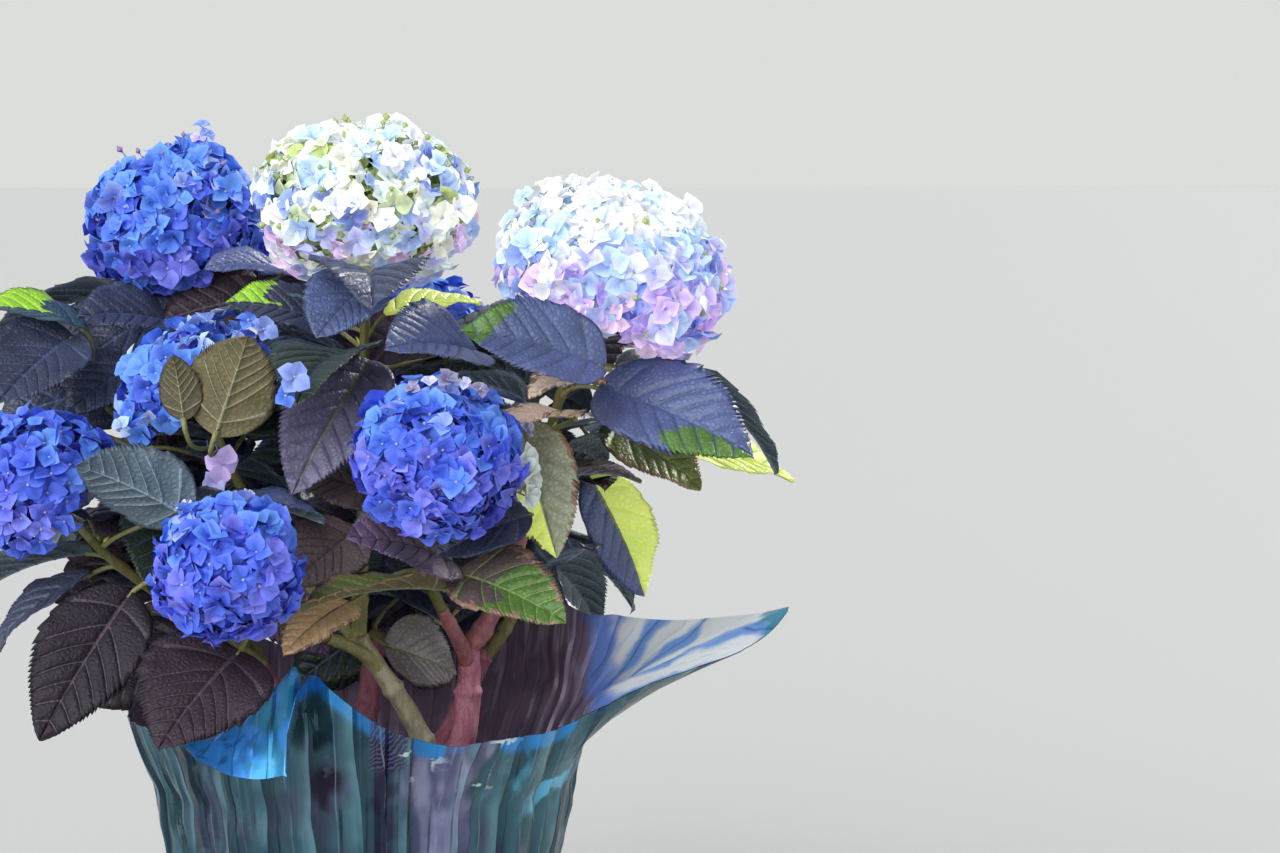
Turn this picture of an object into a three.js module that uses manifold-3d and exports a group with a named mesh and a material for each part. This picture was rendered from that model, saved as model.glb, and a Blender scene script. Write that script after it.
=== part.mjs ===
// A potted mophead hydrangea: five woody stems that fork into fourteen shoots, eleven of which end in a
// round flower head and three in leaves, in a round nursery pot wrapped in a square sheet of foil.
// Millimetres, +Z up, the plant's front towards -Y, the origin at the middle of the foil's underside.
import * as THREE from "three";
import { mergeVertices } from "three/addons/utils/BufferGeometryUtils.js";
import Module from "manifold-3d";

const wasm = await Module();
wasm.setup();

// Clearance between neighbouring solids
const GAP = 0.3;

// The pot and its potting mix
const POT_HEIGHT = 172;
const POT_RIM_RADIUS = 103;
const POT_BASE_RADIUS = 74;
const POT_WALL = 2.4;
const POT_LIP_DEPTH = 16;
const POT_LIP_OUT = 3;
const POT_SIDES = 24;
const SOIL_DROP = 18;
const SOIL_SHOULDER = 14;
const SOIL_SLOPE = 6;

// The foil: a square sheet drawn up round the pot and creased in at its rim
const FOIL_THICKNESS = 1.2;
const FOIL_BASE_RADIUS = 86;
const CREASE_RADIUS = 120;
const CREASE_HEIGHT = 175;
const COLLAR_LENGTH = 42;
const COLLAR_RISE = 70;
const PLEATS = 18;
const PLEAT_DEPTH = 3.4;
const PLEAT_AT_BASE = 0.4;
const PLEAT_AT_END = 0.5;
const WALL_RINGS = 1;
const COLLAR_RINGS = 7;
// The sheet's corners and folds: azimuth, how much further the sheet reaches there, over how many degrees
// below and above that azimuth, the rise before and after its fold, and the share of the collar at which
// it folds. The last two make the front corner, which stands up and is folded over to its left.
const CORNERS = [
  { azimuth: 5, reach: 125, spread: [40, 40], rise: 78, after: 20, fold: 0.25 },
  { azimuth: 26, reach: 8, spread: [30, 24], rise: 70, after: 84, fold: 0.3 },
  { azimuth: 50, reach: 104, spread: [36, 36], rise: 60, after: 86, fold: 0.4 },
  { azimuth: 146, reach: 62, spread: [56, 36], rise: 64, after: 90, fold: 0.4 },
  { azimuth: 260, reach: 46, spread: [48, 38], rise: 84, after: 84, fold: 0.5 },
  { azimuth: 260, reach: 62, spread: [42, 4], rise: 70, after: -92, fold: 0.585 },
];
const FOLD_SOFTNESS = 0.1;

const POT_FOOT = FOIL_THICKNESS + GAP;
const SOIL_TOP = POT_FOOT + POT_HEIGHT - SOIL_DROP;

// The stems: foot on the potting mix, bend, fork, and radius at foot and fork
const STEMS = {
  right: { foot: [50, -12], bend: [58, -14, 205], fork: [60, -15, 250], radii: [8, 6.5] },
  front: { foot: [46, -48], bend: [32, -51, 214], fork: [2, -58, 262], radii: [6.2, 5] },
  left: { foot: [-24, 2], bend: [-38, 2, 200], fork: [-60, 0, 236], radii: [7, 5.6] },
  back: { foot: [-6, 42], bend: [-4, 56, 200], fork: [0, 70, 240], radii: [7, 5.8] },
  back_right: { foot: [36, 32], bend: [50, 40, 200], fork: [66, 50, 238], radii: [6.5, 5.2] },
};
const STEM_SIDES = 7;
const STEM_STEPS = 5;
const UPRIGHT_FOOT = 20;
const ROOT_FLARE = 1.5;
const FLARE_HEIGHT = 0.12;

// The shoots: stem, order down from the fork, and either a flower head (centre, radius, flatness) or a
// leafy tip. lean is how far from upright the shoot ends, away from the plant's axis; pairs are the leaf
// pairs that it grows by the rule, and turn is the azimuth of the first.
const SHOOTS = {
  right: {
    stem: "right", order: 0, head: [141, -35, 462], radius: 64, flat: 0.8,
    lean: 24, pairs: 1, turn: 150,
  },
  front: {
    stem: "right", order: 1, head: [50, -120, 368], radius: 46, flat: 0.9,
    lean: 34, pairs: 1, turn: 60,
  },
  top: {
    stem: "front", order: 0, head: [4, -10, 500], radius: 61, flat: 0.8,
    lean: 4, pairs: 2, turn: 120,
  },
  left: {
    stem: "front", order: 1, head: [-86, -50, 402], radius: 43, flat: 0.9,
    lean: 22, pairs: 1, turn: 95,
  },
  low_front: {
    stem: "front", order: 2, head: [-55, -163, 315], radius: 39, flat: 1,
    lean: 55, pairs: 0, turn: 0,
  },
  far_left: {
    stem: "left", order: 0, head: [-165, -92, 351], radius: 41, flat: 1,
    lean: 42, pairs: 2, turn: 115,
  },
  upper_left: {
    stem: "left", order: 1, head: [-112, 55, 494], radius: 51, flat: 1,
    lean: 12, pairs: 2, turn: 20,
  },
  left_tip: {
    stem: "left", order: 2, tip: [-154, 4, 398],
    lean: 40, pairs: 3, turn: 100,
  },
  back_top: {
    stem: "back", order: 0, head: [27, 122, 414], radius: 48, flat: 0.86,
    lean: 14, pairs: 2, turn: 50,
  },
  back_left: {
    stem: "back", order: 1, head: [-116, 146, 374], radius: 48, flat: 0.86,
    lean: 32, pairs: 2, turn: 25,
  },
  back: {
    stem: "back", order: 2, head: [-36, 190, 346], radius: 44, flat: 0.88,
    lean: 42, pairs: 2, turn: 70,
  },
  back_right: {
    stem: "back_right", order: 0, head: [64, 168, 336], radius: 43, flat: 0.88,
    lean: 42, pairs: 2, turn: 15,
  },
  right_tip: {
    stem: "back_right", order: 1, tip: [138, 52, 362],
    lean: 44, pairs: 1, turn: 85,
  },
  back_tip: {
    stem: "back_right", order: 2, tip: [100, 126, 400],
    lean: 30, pairs: 2, turn: 60,
  },
};
const FORK_STEP = 0.09;
// A shoot first climbs and spreads, then turns to its end heading: shares of the way from fork to end
const SHOOT_CLIMB = 0.22;
const SHOOT_SPREAD = 0.2;
const SHOOT_TURN = 0.32;
// The lower share of a shoot is its bough; the one at the fork carries on the stem and is the thickest
const BOUGH_SHARE = 0.42;
const TOP_BOUGH = 0.94;
const SIDE_BOUGH = 0.78;
const BOUGH_END_RADIUS = 3.2;
const SHOOT_RADIUS = 2.6;
const SHOOT_SIDES = 6;
const BOUGH_STEPS = 3;
const SHOOT_STEPS = 4;
const STRETCH_STEPS = 8;

// Leaves by the rule: opposite pairs down the shoot, each a quarter turn from the last and drooping more
const PAIR_START = 0.95;
const PAIR_STEP = 0.19;
const PAIR_LENGTH = 108;
const PAIR_SHRINK = 0.88;
const PAIR_RISE = -6;
const PAIR_SINK = 12;
// How far leaves differ: turn and rise in degrees, the rest as shares
const VARY_TURN = 14;
const VARY_RISE = 10;
const VARY_FACE = 0.3;
const VARY_DROOP = 0.3;
const VARY_LENGTH = 0.08;
const VARY_WIDTH = 0.1;
// A leaf with no room is turned and tilted in these steps
const TRY_STEPS = 9;
const TRY_TURN = 15;
const TRY_TILTS = [0, -24, 20];
const PETIOLE_LENGTH = 26;
const PETIOLE_RISE = 30;
const PETIOLE_RADIUS = 1.5;
const PETIOLE_SUNK = 0.1;

// A leaf: width and thickness for its length, droop and fold in degrees, and how its outline swells and
// tapers to either side of its widest station
const LEAF_WIDTH = 0.66;
const LEAF_DROOP = 46;
const LEAF_FOLD = 14;
const LEAF_THICKNESS = 0.0125;
const LEAF_SWELL = 0.6;
const LEAF_TAPER = 0.9;
const LEAF_WIDEST = 0.4;
const LEAF_STATIONS = [0.14, 0.42, 0.74];

// Leaves that show one by one from the front, for each shoot: foot and tip of the blade, how far its
// upper side leans forward from upwards, and its width for its length
const SHOWN_LEAVES = {
  right: [
    { foot: [134, -52, 400], tip: [218, -97, 366], front: 48, width: 0.64 },
    { foot: [138, -98, 414], tip: [62, -120, 435], front: 52, width: 0.62 },
    { foot: [134, -66, 404], tip: [98, -114, 400], front: 10, width: 0.6 },
    { foot: [122, -46, 383], tip: [80, -104, 379], front: 4, width: 0.56 },
  ],
  front: [
    { foot: [55, -72, 306], tip: [2, -122, 326], front: 46, width: 0.78 },
    { foot: [12, -44, 340], tip: [-36, -62, 355], front: 50, width: 0.76 },
    { foot: [2, -66, 323], tip: [-30, -98, 296], front: 58, width: 0.9 },
    { foot: [92, -52, 381], tip: [112, -76, 309], front: 74, width: 0.6 },
    { foot: [98, -92, 334], tip: [48, -104, 313], front: 42, width: 0.76 },
    { foot: [58, -80, 301], tip: [118, -124, 281], front: 44, width: 0.66 },
    { foot: [1, -92, 287], tip: [-30, -136, 266], front: 30, width: 0.62 },
    { foot: [55, -84, 293], tip: [-20, -136, 289], front: -4, width: 0.5 },
  ],
  top: [
    { foot: [68, -52, 419], tip: [22, -106, 425], front: 46, width: 0.8 },
    { foot: [9, -56, 457], tip: [-16, -90, 429], front: 44, width: 0.96 },
    { foot: [8, -38, 414], tip: [-30, -92, 345], front: 64, width: 0.6 },
    { foot: [12, 8, 437], tip: [66, 38, 443], front: 20, width: 0.5 },
    { foot: [-18, 0, 432], tip: [-74, -24, 445], front: 40, width: 0.66 },
  ],
  left: [
    { foot: [-66, -124, 380], tip: [-46, -138, 434], front: -78, width: 0.86 },
    { foot: [-82, -126, 388], tip: [-86, -134, 423], front: -78, width: 0.66 },
    { foot: [-79, -126, 336], tip: [-136, -144, 367], front: -66, width: 0.74 },
    { foot: [-50, -28, 292], tip: [-16, -40, 250], front: 60, width: 0.86 },
  ],
  low_front: [
    { foot: [-52, -138, 268], tip: [-88, -188, 226], front: 50, width: 0.98 },
    { foot: [-115, -98, 294], tip: [-158, -140, 221], front: 66, width: 0.62 },
  ],
  far_left: [
    { foot: [-143, -60, 299], tip: [-196, -84, 257], front: 4, width: 0.6 },
  ],
  upper_left: [
    { foot: [-106, 34, 428], tip: [-156, -22, 438], front: 44, width: 0.66 },
    { foot: [-48, 22, 462], tip: [-86, -14, 464], front: 34, width: 0.6 },
  ],
  left_tip: [
    { foot: [-154, -4, 429], tip: [-216, -30, 442], front: 20, width: 0.66 },
    { foot: [-160, -14, 426], tip: [-194, -66, 390], front: 60, width: 0.76 },
    { foot: [-122, 14, 412], tip: [-164, -26, 382], front: 52, width: 0.62 },
  ],
  right_tip: [
    { foot: [127, 20, 345], tip: [160, 45, 270], front: 44, width: 0.54 },
    { foot: [137, 30, 373], tip: [192, 4, 338], front: 40, width: 0.66 },
    { foot: [157, 60, 357], tip: [249, 90, 333], front: 26, width: 0.54 },
    { foot: [12, -10, 251], tip: [55, -32, 238], front: -70, width: 0.96 },
  ],
};
const SHOWN_DROOP = 28;
// Its petiole springs from the shoot's own stem, nearest to a place this far below the blade's foot
const PETIOLE_DROP = 16;
const ROOT_STEP = 0.03;

// Flower heads: a core on a stalk, with four-pointed flowers that stand out of it, bare under the rim.
// Shares are of the head's radius; the cover is 2 for flowers all round, 1 for the upper half alone.
const CORE_SHARE = 0.8;
const FLOWER_SHARE = 0.95;
const ROOT_SHARE = 0.55;
const HEAD_COVER = 1.5;
const FLOWER_AREA = 1180;
const FLOWER_HALF = 16.5;
const FLOWER_RISE = 0.1;
const FLOWER_DIP = 0.12;
const FLOWER_TILT = 0.3;
const VARY_PLACE = 0.05;
const VARY_HALF = 0.12;
const STALK_SHOWN = 10;
const STALK_RADIUS = 2.2;

const rad = THREE.MathUtils.degToRad;
const UP = new THREE.Vector3(0, 0, 1);

// A repeatable number from 0 to 1 for each seed
function chance(seed) {
  const s = Math.sin(seed * 12.9898 + 4.137) * 43758.5453;
  return s - Math.floor(s);
}

// A number from -1 to 1 for each seed
function spread(seed) {
  return 2 * chance(seed) - 1;
}

// The unit vector at an azimuth and a rise above level, in degrees
function heading(azimuth, rise) {
  const a = rad(azimuth);
  const r = rad(rise);
  return new THREE.Vector3(Math.cos(a) * Math.cos(r), Math.sin(a) * Math.cos(r), Math.sin(r));
}

function vector(list) {
  return new THREE.Vector3(...list);
}

function geometryOf(points, faces) {
  const geometry = new THREE.BufferGeometry();
  geometry.setAttribute("position", new THREE.Float32BufferAttribute(points, 3));
  geometry.setIndex(faces);
  return geometry;
}

function solidOf(geometry) {
  const bare = geometry.clone();
  bare.deleteAttribute("normal");
  bare.deleteAttribute("uv");
  const merged = mergeVertices(bare, 1e-3);
  const mesh = new wasm.Mesh({
    numProp: 3,
    vertProperties: merged.attributes.position.array,
    triVerts: new Uint32Array(merged.index.array),
  });
  return new wasm.Manifold(mesh);
}

function geometryFrom(solid) {
  const mesh = solid.getMesh();
  const geometry = geometryOf(Array.from(mesh.vertProperties), Array.from(mesh.triVerts));
  const faceted = geometry.toNonIndexed();
  faceted.computeVertexNormals();
  return faceted;
}

// One solid from several that overlap
function fuse(solids) {
  return solids.reduce((whole, piece) => whole.add(piece));
}

// The largest body left of a solid once others are cut from it
function clearOf(solid, cutters) {
  const left = cutters.reduce((whole, cutter) => whole.subtract(cutter), solid);
  return left.decompose().reduce((a, b) => (a.volume() > b.volume() ? a : b));
}

function touches(one, other) {
  const a = one.boundingBox();
  const b = other.boundingBox();
  const near = [0, 1, 2].every((k) => a.min[k] < b.max[k] && b.min[k] < a.max[k]);
  return near && one.intersect(other).volume() > 0;
}

// A limb of round section along a curve; radiusAt gives its radius at each share of the curve
function limbGeometry(curve, radiusAt, sides, steps) {
  const frames = curve.computeFrenetFrames(steps, false);
  const points = [];
  const faces = [];
  for (let i = 0; i <= steps; i += 1) {
    const middle = curve.getPointAt(i / steps);
    const radius = radiusAt(i / steps);
    for (let j = 0; j < sides; j += 1) {
      const angle = (2 * Math.PI * j) / sides;
      const out = frames.normals[i]
        .clone()
        .multiplyScalar(Math.cos(angle) * radius)
        .addScaledVector(frames.binormals[i], Math.sin(angle) * radius);
      points.push(...middle.clone().add(out).toArray());
    }
  }
  for (let i = 0; i < steps; i += 1) {
    for (let j = 0; j < sides; j += 1) {
      const a = i * sides + j;
      const b = i * sides + ((j + 1) % sides);
      faces.push(a, b, b + sides, a, b + sides, a + sides);
    }
  }
  const last = steps * sides;
  for (let j = 1; j < sides - 1; j += 1) {
    faces.push(0, j + 1, j, last, last + j, last + j + 1);
  }
  return geometryOf(points, faces);
}

// A stretch of a curve, from one share of its length to another
function stretch(curve, from, to) {
  const points = [];
  for (let i = 0; i <= STRETCH_STEPS; i += 1) {
    points.push(curve.getPointAt(THREE.MathUtils.lerp(from, to, i / STRETCH_STEPS)));
  }
  return new THREE.CatmullRomCurve3(points);
}

function potGeometry() {
  const top = POT_FOOT + POT_HEIGHT;
  const slope = (POT_RIM_RADIUS - POT_BASE_RADIUS) / POT_HEIGHT;
  const lipFoot = top - POT_LIP_DEPTH;
  const wallAtLip = POT_RIM_RADIUS - slope * POT_LIP_DEPTH;
  const profile = [
    [0, POT_FOOT],
    [POT_BASE_RADIUS, POT_FOOT],
    [wallAtLip, lipFoot],
    [wallAtLip + POT_LIP_OUT, lipFoot],
    [POT_RIM_RADIUS + POT_LIP_OUT, top],
    [POT_RIM_RADIUS - POT_WALL, top],
    [POT_BASE_RADIUS - POT_WALL + slope * POT_WALL, POT_FOOT + POT_WALL],
    [0, POT_FOOT + POT_WALL],
  ];
  return turned(profile);
}

// The potting mix fills the pot and is a little lower round its edge
function soilGeometry() {
  const base = POT_FOOT + POT_WALL + GAP;
  const slope = (POT_RIM_RADIUS - POT_BASE_RADIUS) / POT_HEIGHT;
  const shoulder = SOIL_TOP - SOIL_SLOPE;
  const clear = POT_WALL + 2 * GAP;
  const profile = [
    [0, base],
    [POT_BASE_RADIUS - clear + slope * base, base],
    [POT_BASE_RADIUS - clear + slope * shoulder, shoulder],
    [POT_BASE_RADIUS - clear + slope * shoulder - SOIL_SHOULDER, SOIL_TOP],
    [0, SOIL_TOP],
  ];
  return turned(profile);
}

// A profile of radius and height turned about the vertical axis
function turned(profile) {
  const geometry = new THREE.LatheGeometry(
    profile.map(([r, z]) => new THREE.Vector2(r, z)),
    POT_SIDES,
  );
  return geometry.rotateX(Math.PI / 2);
}

// How near an azimuth is to a corner of the sheet: 1 at the corner, 0 at the end of its spread
function nearCorner(corner, azimuth) {
  const turn = ((((azimuth - corner.azimuth + 180) % 360) + 360) % 360) - 180;
  return Math.max(0, 1 - Math.abs(turn) / corner.spread[turn < 0 ? 0 : 1]);
}

// How far the sheet reaches past the crease at an azimuth: it comes to a point at each corner
function collarLength(azimuth) {
  return CORNERS.reduce(
    (length, corner) => length + corner.reach * nearCorner(corner, azimuth) ** 2,
    COLLAR_LENGTH,
  );
}

// The rise of the collar at an azimuth and a share of its length, bent by the corners' folds
function collarRise(azimuth, share) {
  return CORNERS.reduce((rise, corner) => {
    const weight = THREE.MathUtils.smoothstep(nearCorner(corner, azimuth), 0, 1);
    const past = (share - corner.fold) / FOLD_SOFTNESS;
    const folded = THREE.MathUtils.smoothstep(past, -1, 1);
    const own = THREE.MathUtils.lerp(corner.rise, corner.after, folded);
    return rise + (own - COLLAR_RISE) * weight;
  }, COLLAR_RISE);
}

// The foil's outer side at an azimuth: radius and height from the base's edge to the end of the collar.
// pleat is where the azimuth lies in its pleat, from -0.5 inwards to 0.5 outwards.
function foilProfile(azimuth, pleat) {
  const profile = [];
  for (let i = 0; i < WALL_RINGS; i += 1) {
    const share = i / WALL_RINGS;
    const radius = FOIL_BASE_RADIUS + (CREASE_RADIUS - FOIL_BASE_RADIUS) * share;
    const depth = PLEAT_DEPTH * THREE.MathUtils.lerp(PLEAT_AT_BASE, 1, share);
    profile.push([radius + pleat * depth, CREASE_HEIGHT * share]);
  }
  let radius = CREASE_RADIUS;
  let height = CREASE_HEIGHT;
  const step = collarLength(azimuth) / COLLAR_RINGS;
  for (let i = 0; i <= COLLAR_RINGS; i += 1) {
    const depth = PLEAT_DEPTH * THREE.MathUtils.lerp(1, PLEAT_AT_END, i / COLLAR_RINGS);
    profile.push([radius + pleat * depth, height]);
    const rise = rad(collarRise(azimuth, (i + 0.5) / COLLAR_RINGS));
    radius += step * Math.cos(rise);
    height += step * Math.sin(rise);
  }
  return profile;
}

// A closed sheet: the outer side, and the inner side one thickness in along the surface's normal
function foilGeometry() {
  const columns = 2 * PLEATS;
  const outer = [];
  for (let j = 0; j < columns; j += 1) {
    const azimuth = (360 * j) / columns;
    const pleat = j % 2 ? -0.5 : 0.5;
    const out = heading(azimuth, 0);
    outer.push(foilProfile(azimuth, pleat).map(([r, z]) => out.clone().multiplyScalar(r).setZ(z)));
  }
  const rings = outer[0].length;
  const inner = outer.map((column, j) =>
    column.map((point, i) => {
      const along = column[Math.min(i + 1, rings - 1)].clone().sub(column[Math.max(i - 1, 0)]);
      const across = outer[(j + 1) % columns][i].clone().sub(outer[(j + columns - 1) % columns][i]);
      const normal = across.cross(along).normalize();
      const moved = point.clone().addScaledVector(normal, -FOIL_THICKNESS);
      return i ? moved : moved.setZ(FOIL_THICKNESS);
    }),
  );
  const points = [];
  const faces = [];
  [outer, inner].flat(2).forEach((point) => points.push(...point.toArray()));
  const at = (side, j, i) => (side * columns + (j % columns)) * rings + i;
  for (let j = 0; j < columns; j += 1) {
    for (let i = 0; i < rings - 1; i += 1) {
      faces.push(at(0, j, i), at(0, j + 1, i), at(0, j + 1, i + 1));
      faces.push(at(0, j, i), at(0, j + 1, i + 1), at(0, j, i + 1));
      faces.push(at(1, j, i), at(1, j + 1, i + 1), at(1, j + 1, i));
      faces.push(at(1, j, i), at(1, j, i + 1), at(1, j + 1, i + 1));
    }
    const end = rings - 1;
    faces.push(at(0, j, end), at(0, j + 1, end), at(1, j + 1, end));
    faces.push(at(0, j, end), at(1, j + 1, end), at(1, j, end));
    const middle = 2 * columns * rings;
    faces.push(middle, at(0, j + 1, 0), at(0, j, 0));
    faces.push(middle + 1, at(1, j, 0), at(1, j + 1, 0));
  }
  points.push(0, 0, 0, 0, 0, FOIL_THICKNESS);
  return geometryOf(points, faces);
}

// A stem's curve, from its flat foot on the potting mix to its fork
function stemCurve(stem) {
  const foot = new THREE.Vector3(...stem.foot, SOIL_TOP + GAP);
  const above = foot.clone().addScaledVector(UP, UPRIGHT_FOOT);
  return new THREE.CatmullRomCurve3([foot, above, vector(stem.bend), vector(stem.fork)]);
}

// A stem, or the room it needs where extra is the clearance round it
function stemSolid(stem, extra) {
  const [foot, fork] = stem.radii;
  const radiusAt = (t) => {
    const flare = 1 + (ROOT_FLARE - 1) * Math.max(0, 1 - t / FLARE_HEIGHT);
    return THREE.MathUtils.lerp(foot, fork, t) * flare + extra;
  };
  const limb = solidOf(limbGeometry(stemCurve(stem), radiusAt, STEM_SIDES, STEM_STEPS));
  // The foot is cut level, whichever way the stem leans
  return limb.trimByPlane([0, 0, 1], SOIL_TOP + GAP);
}

// The way a shoot ends: leaning out from the plant's axis by its lean
function endHeading(shoot) {
  const end = shoot.head ?? shoot.tip;
  const azimuth = THREE.MathUtils.radToDeg(Math.atan2(end[1], end[0]));
  return heading(azimuth, 90 - shoot.lean);
}

// Where the shoot ends: under its flower head's core, or at its leafy tip
function shootEnd(shoot) {
  if (!shoot.head) return vector(shoot.tip);
  const depth = shoot.radius * shoot.flat * CORE_SHARE + STALK_SHOWN;
  return vector(shoot.head).addScaledVector(endHeading(shoot), -depth);
}

// A shoot's curve, from the middle of its stem near the fork to its end
function shootCurve(shoot) {
  const stem = stemCurve(STEMS[shoot.stem]);
  const start = stem.getPointAt(1 - shoot.order * FORK_STEP);
  const end = shootEnd(shoot);
  const length = start.distanceTo(end);
  const out = end.clone().sub(start).setZ(0).normalize();
  const first = start
    .clone()
    .addScaledVector(UP, length * SHOOT_CLIMB)
    .addScaledVector(out, length * SHOOT_SPREAD);
  const second = end.clone().addScaledVector(endHeading(shoot), -length * SHOOT_TURN);
  return new THREE.CubicBezierCurve3(start, first, second, end);
}

// A bough, or the room it needs where extra is the clearance round it
function boughSolid(shoot, extra) {
  const curve = stretch(shootCurve(shoot), 0, BOUGH_SHARE);
  const start = STEMS[shoot.stem].radii[1] * (shoot.order ? SIDE_BOUGH : TOP_BOUGH);
  const radiusAt = (t) => THREE.MathUtils.lerp(start, BOUGH_END_RADIUS, t) + extra;
  return solidOf(limbGeometry(curve, radiusAt, SHOOT_SIDES, BOUGH_STEPS));
}

// The leafy part of a shoot's own stem, just clear of its bough
function shootStem(shoot) {
  const whole = shootCurve(shoot);
  const from = BOUGH_SHARE + GAP / whole.getLength();
  const radiusAt = (t) => THREE.MathUtils.lerp(BOUGH_END_RADIUS, SHOOT_RADIUS, t);
  return solidOf(limbGeometry(stretch(whole, from, 1), radiusAt, SHOOT_SIDES, SHOOT_STEPS));
}

// Half the blade's width at a share of its length, as a share of the widest: rounded base, drawn-out tip
function bladeShape(u) {
  const outline = (share) => share ** LEAF_SWELL * (1 - share) ** LEAF_TAPER;
  return outline(u) / outline(LEAF_WIDEST);
}

// A leaf's blade: its axes at the foot and the arc it bends through, so that it ends at the leaf's tip
function bladeOf(leaf) {
  const chord = leaf.tip.clone().sub(leaf.base);
  const bend = rad(leaf.droop);
  const length = (0.5 * chord.length() * bend) / Math.sin(bend / 2);
  chord.normalize();
  const above = leaf.face.clone().addScaledVector(chord, -leaf.face.dot(chord)).normalize();
  const turn = (first, second, angle) =>
    first.clone().multiplyScalar(Math.cos(angle)).addScaledVector(second, Math.sin(angle));
  const along = turn(chord, above, bend / 2);
  const face = turn(above, chord, -bend / 2);
  const side = along.clone().cross(face);
  return { base: leaf.base, along, face, side, bend, length, half: 0.5 * length * leaf.width };
}

// A point of the blade: u runs along the midrib, which bends down in an arc, and v across, folded up
function bladePoint(blade, u, v) {
  const angle = blade.bend * u;
  const radius = blade.length / blade.bend;
  const out = blade.half * bladeShape(u) * v;
  const upwards = blade.face
    .clone()
    .multiplyScalar(Math.cos(angle))
    .addScaledVector(blade.along, Math.sin(angle));
  return blade.base
    .clone()
    .addScaledVector(blade.along, radius * Math.sin(angle))
    .addScaledVector(blade.face, -radius * (1 - Math.cos(angle)))
    .addScaledVector(blade.side, Math.cos(rad(LEAF_FOLD)) * out)
    .addScaledVector(upwards, Math.sin(rad(LEAF_FOLD)) * Math.abs(out));
}

// A blade: two rows of faces either side of the midrib, above and below, closed round the edge
function bladeGeometry(leaf) {
  const blade = bladeOf(leaf);
  const half = 0.5 * LEAF_THICKNESS * blade.length;
  const middles = [0, ...LEAF_STATIONS, 1].flatMap((u) =>
    (u % 1 ? [-1, 0, 1] : [0]).map((v) => bladePoint(blade, u, v)),
  );
  const points = [half, -half].flatMap((offset) =>
    middles.flatMap((p) => p.clone().addScaledVector(blade.face, offset).toArray()),
  );
  const count = middles.length;
  const last = count - 1;
  const upper = [0, 2, 1, 0, 3, 2, last - 3, last - 2, last, last - 2, last - 1, last];
  for (let a = 1; a < last - 3; a += 3) {
    upper.push(a, a + 1, a + 4, a, a + 4, a + 3);
    upper.push(a + 1, a + 2, a + 5, a + 1, a + 5, a + 4);
  }
  const faces = [];
  for (let i = 0; i < upper.length; i += 3) {
    const [a, b, c] = upper.slice(i, i + 3);
    faces.push(a, b, c, a + count, c + count, b + count);
  }
  const left = LEAF_STATIONS.map((_, row) => 3 * row + 1);
  const right = left.map((point) => point + 2);
  const rim = [0, ...right, last, ...left.reverse()];
  rim.forEach((a, i) => {
    const b = rim[(i + 1) % rim.length];
    faces.push(a, a + count, b + count, a, b + count, b);
  });
  return geometryOf(points, faces);
}

// A petiole from the middle of the shoot to inside the foot of the midrib
function petioleGeometry(leaf) {
  const end = bladePoint(bladeOf(leaf), PETIOLE_SUNK, 0);
  return limbGeometry(new THREE.LineCurve3(leaf.root, end), () => PETIOLE_RADIUS, 3, 1);
}

function leafPieces(leaf) {
  return { petiole: solidOf(petioleGeometry(leaf)), blade: solidOf(bladeGeometry(leaf)) };
}

// The point of a shoot's own stem where the petiole of a blade with this foot springs
function rootFor(shoot, base) {
  const curve = shootCurve(shoot);
  const below = base.clone().addScaledVector(UP, -PETIOLE_DROP);
  let nearest = null;
  for (let share = BOUGH_SHARE + 0.05; share < 0.96; share += ROOT_STEP) {
    const point = curve.getPointAt(share);
    if (!nearest || point.distanceTo(below) < nearest.distanceTo(below)) nearest = point;
  }
  return nearest;
}

// The leaves of a shoot that show one by one from the front
function shownLeaves(name) {
  const leaves = SHOWN_LEAVES[name] ?? [];
  return leaves.map((leaf) => ({
    root: rootFor(SHOOTS[name], vector(leaf.foot)),
    base: vector(leaf.foot),
    tip: vector(leaf.tip),
    face: heading(270, 90 - leaf.front),
    width: leaf.width,
    droop: SHOWN_DROOP,
  }));
}

// The leaves that a shoot grows by the rule: pairs that leave it on opposite sides, each written as a
// function of the turn and tilt that it is grown with
function pairedLeaves(name) {
  const shoot = SHOOTS[name];
  const curve = shootCurve(shoot);
  const seed = 31 * Object.keys(SHOOTS).indexOf(name);
  const leaves = [];
  for (let pair = 0; pair < shoot.pairs; pair += 1) {
    for (let side = 0; side < 2; side += 1) {
      const own = seed + 7 * pair + 3 * side;
      const root = curve.getPointAt(PAIR_START - PAIR_STEP * pair);
      const length = PAIR_LENGTH * PAIR_SHRINK ** pair * (1 + VARY_LENGTH * spread(own + 4));
      leaves.push((turn, tilt) => {
        const azimuth = shoot.turn + 90 * pair + 180 * side + VARY_TURN * spread(own) + turn;
        const rise = PAIR_RISE - PAIR_SINK * pair + VARY_RISE * spread(own + 1) + tilt;
        const petiole = heading(azimuth, PETIOLE_RISE + tilt);
        const base = root.clone().addScaledVector(petiole, PETIOLE_LENGTH);
        const sideways = heading(azimuth + 90, 0);
        return {
          root,
          base,
          tip: base.clone().addScaledVector(heading(azimuth, rise), length),
          face: UP.clone().addScaledVector(sideways, VARY_FACE * spread(own + 2)),
          width: LEAF_WIDTH * (1 + VARY_WIDTH * spread(own + 6)),
          droop: LEAF_DROOP * (1 + VARY_DROOP * spread(own + 5)),
        };
      });
    }
  }
  return leaves;
}

// A leaf by the rule, turned and tilted step by step until it is clear of what is there, or null
function settled(leafAt, mass, taken) {
  for (const tilt of TRY_TILTS) {
    for (let step = 0; step < TRY_STEPS; step += 1) {
      const turn = TRY_TURN * Math.ceil(step / 2) * (step % 2 ? 1 : -1);
      const pieces = leafPieces(leafAt(turn, tilt));
      if (!hits(pieces, mass, taken).length) return pieces;
    }
  }
  return null;
}

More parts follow.
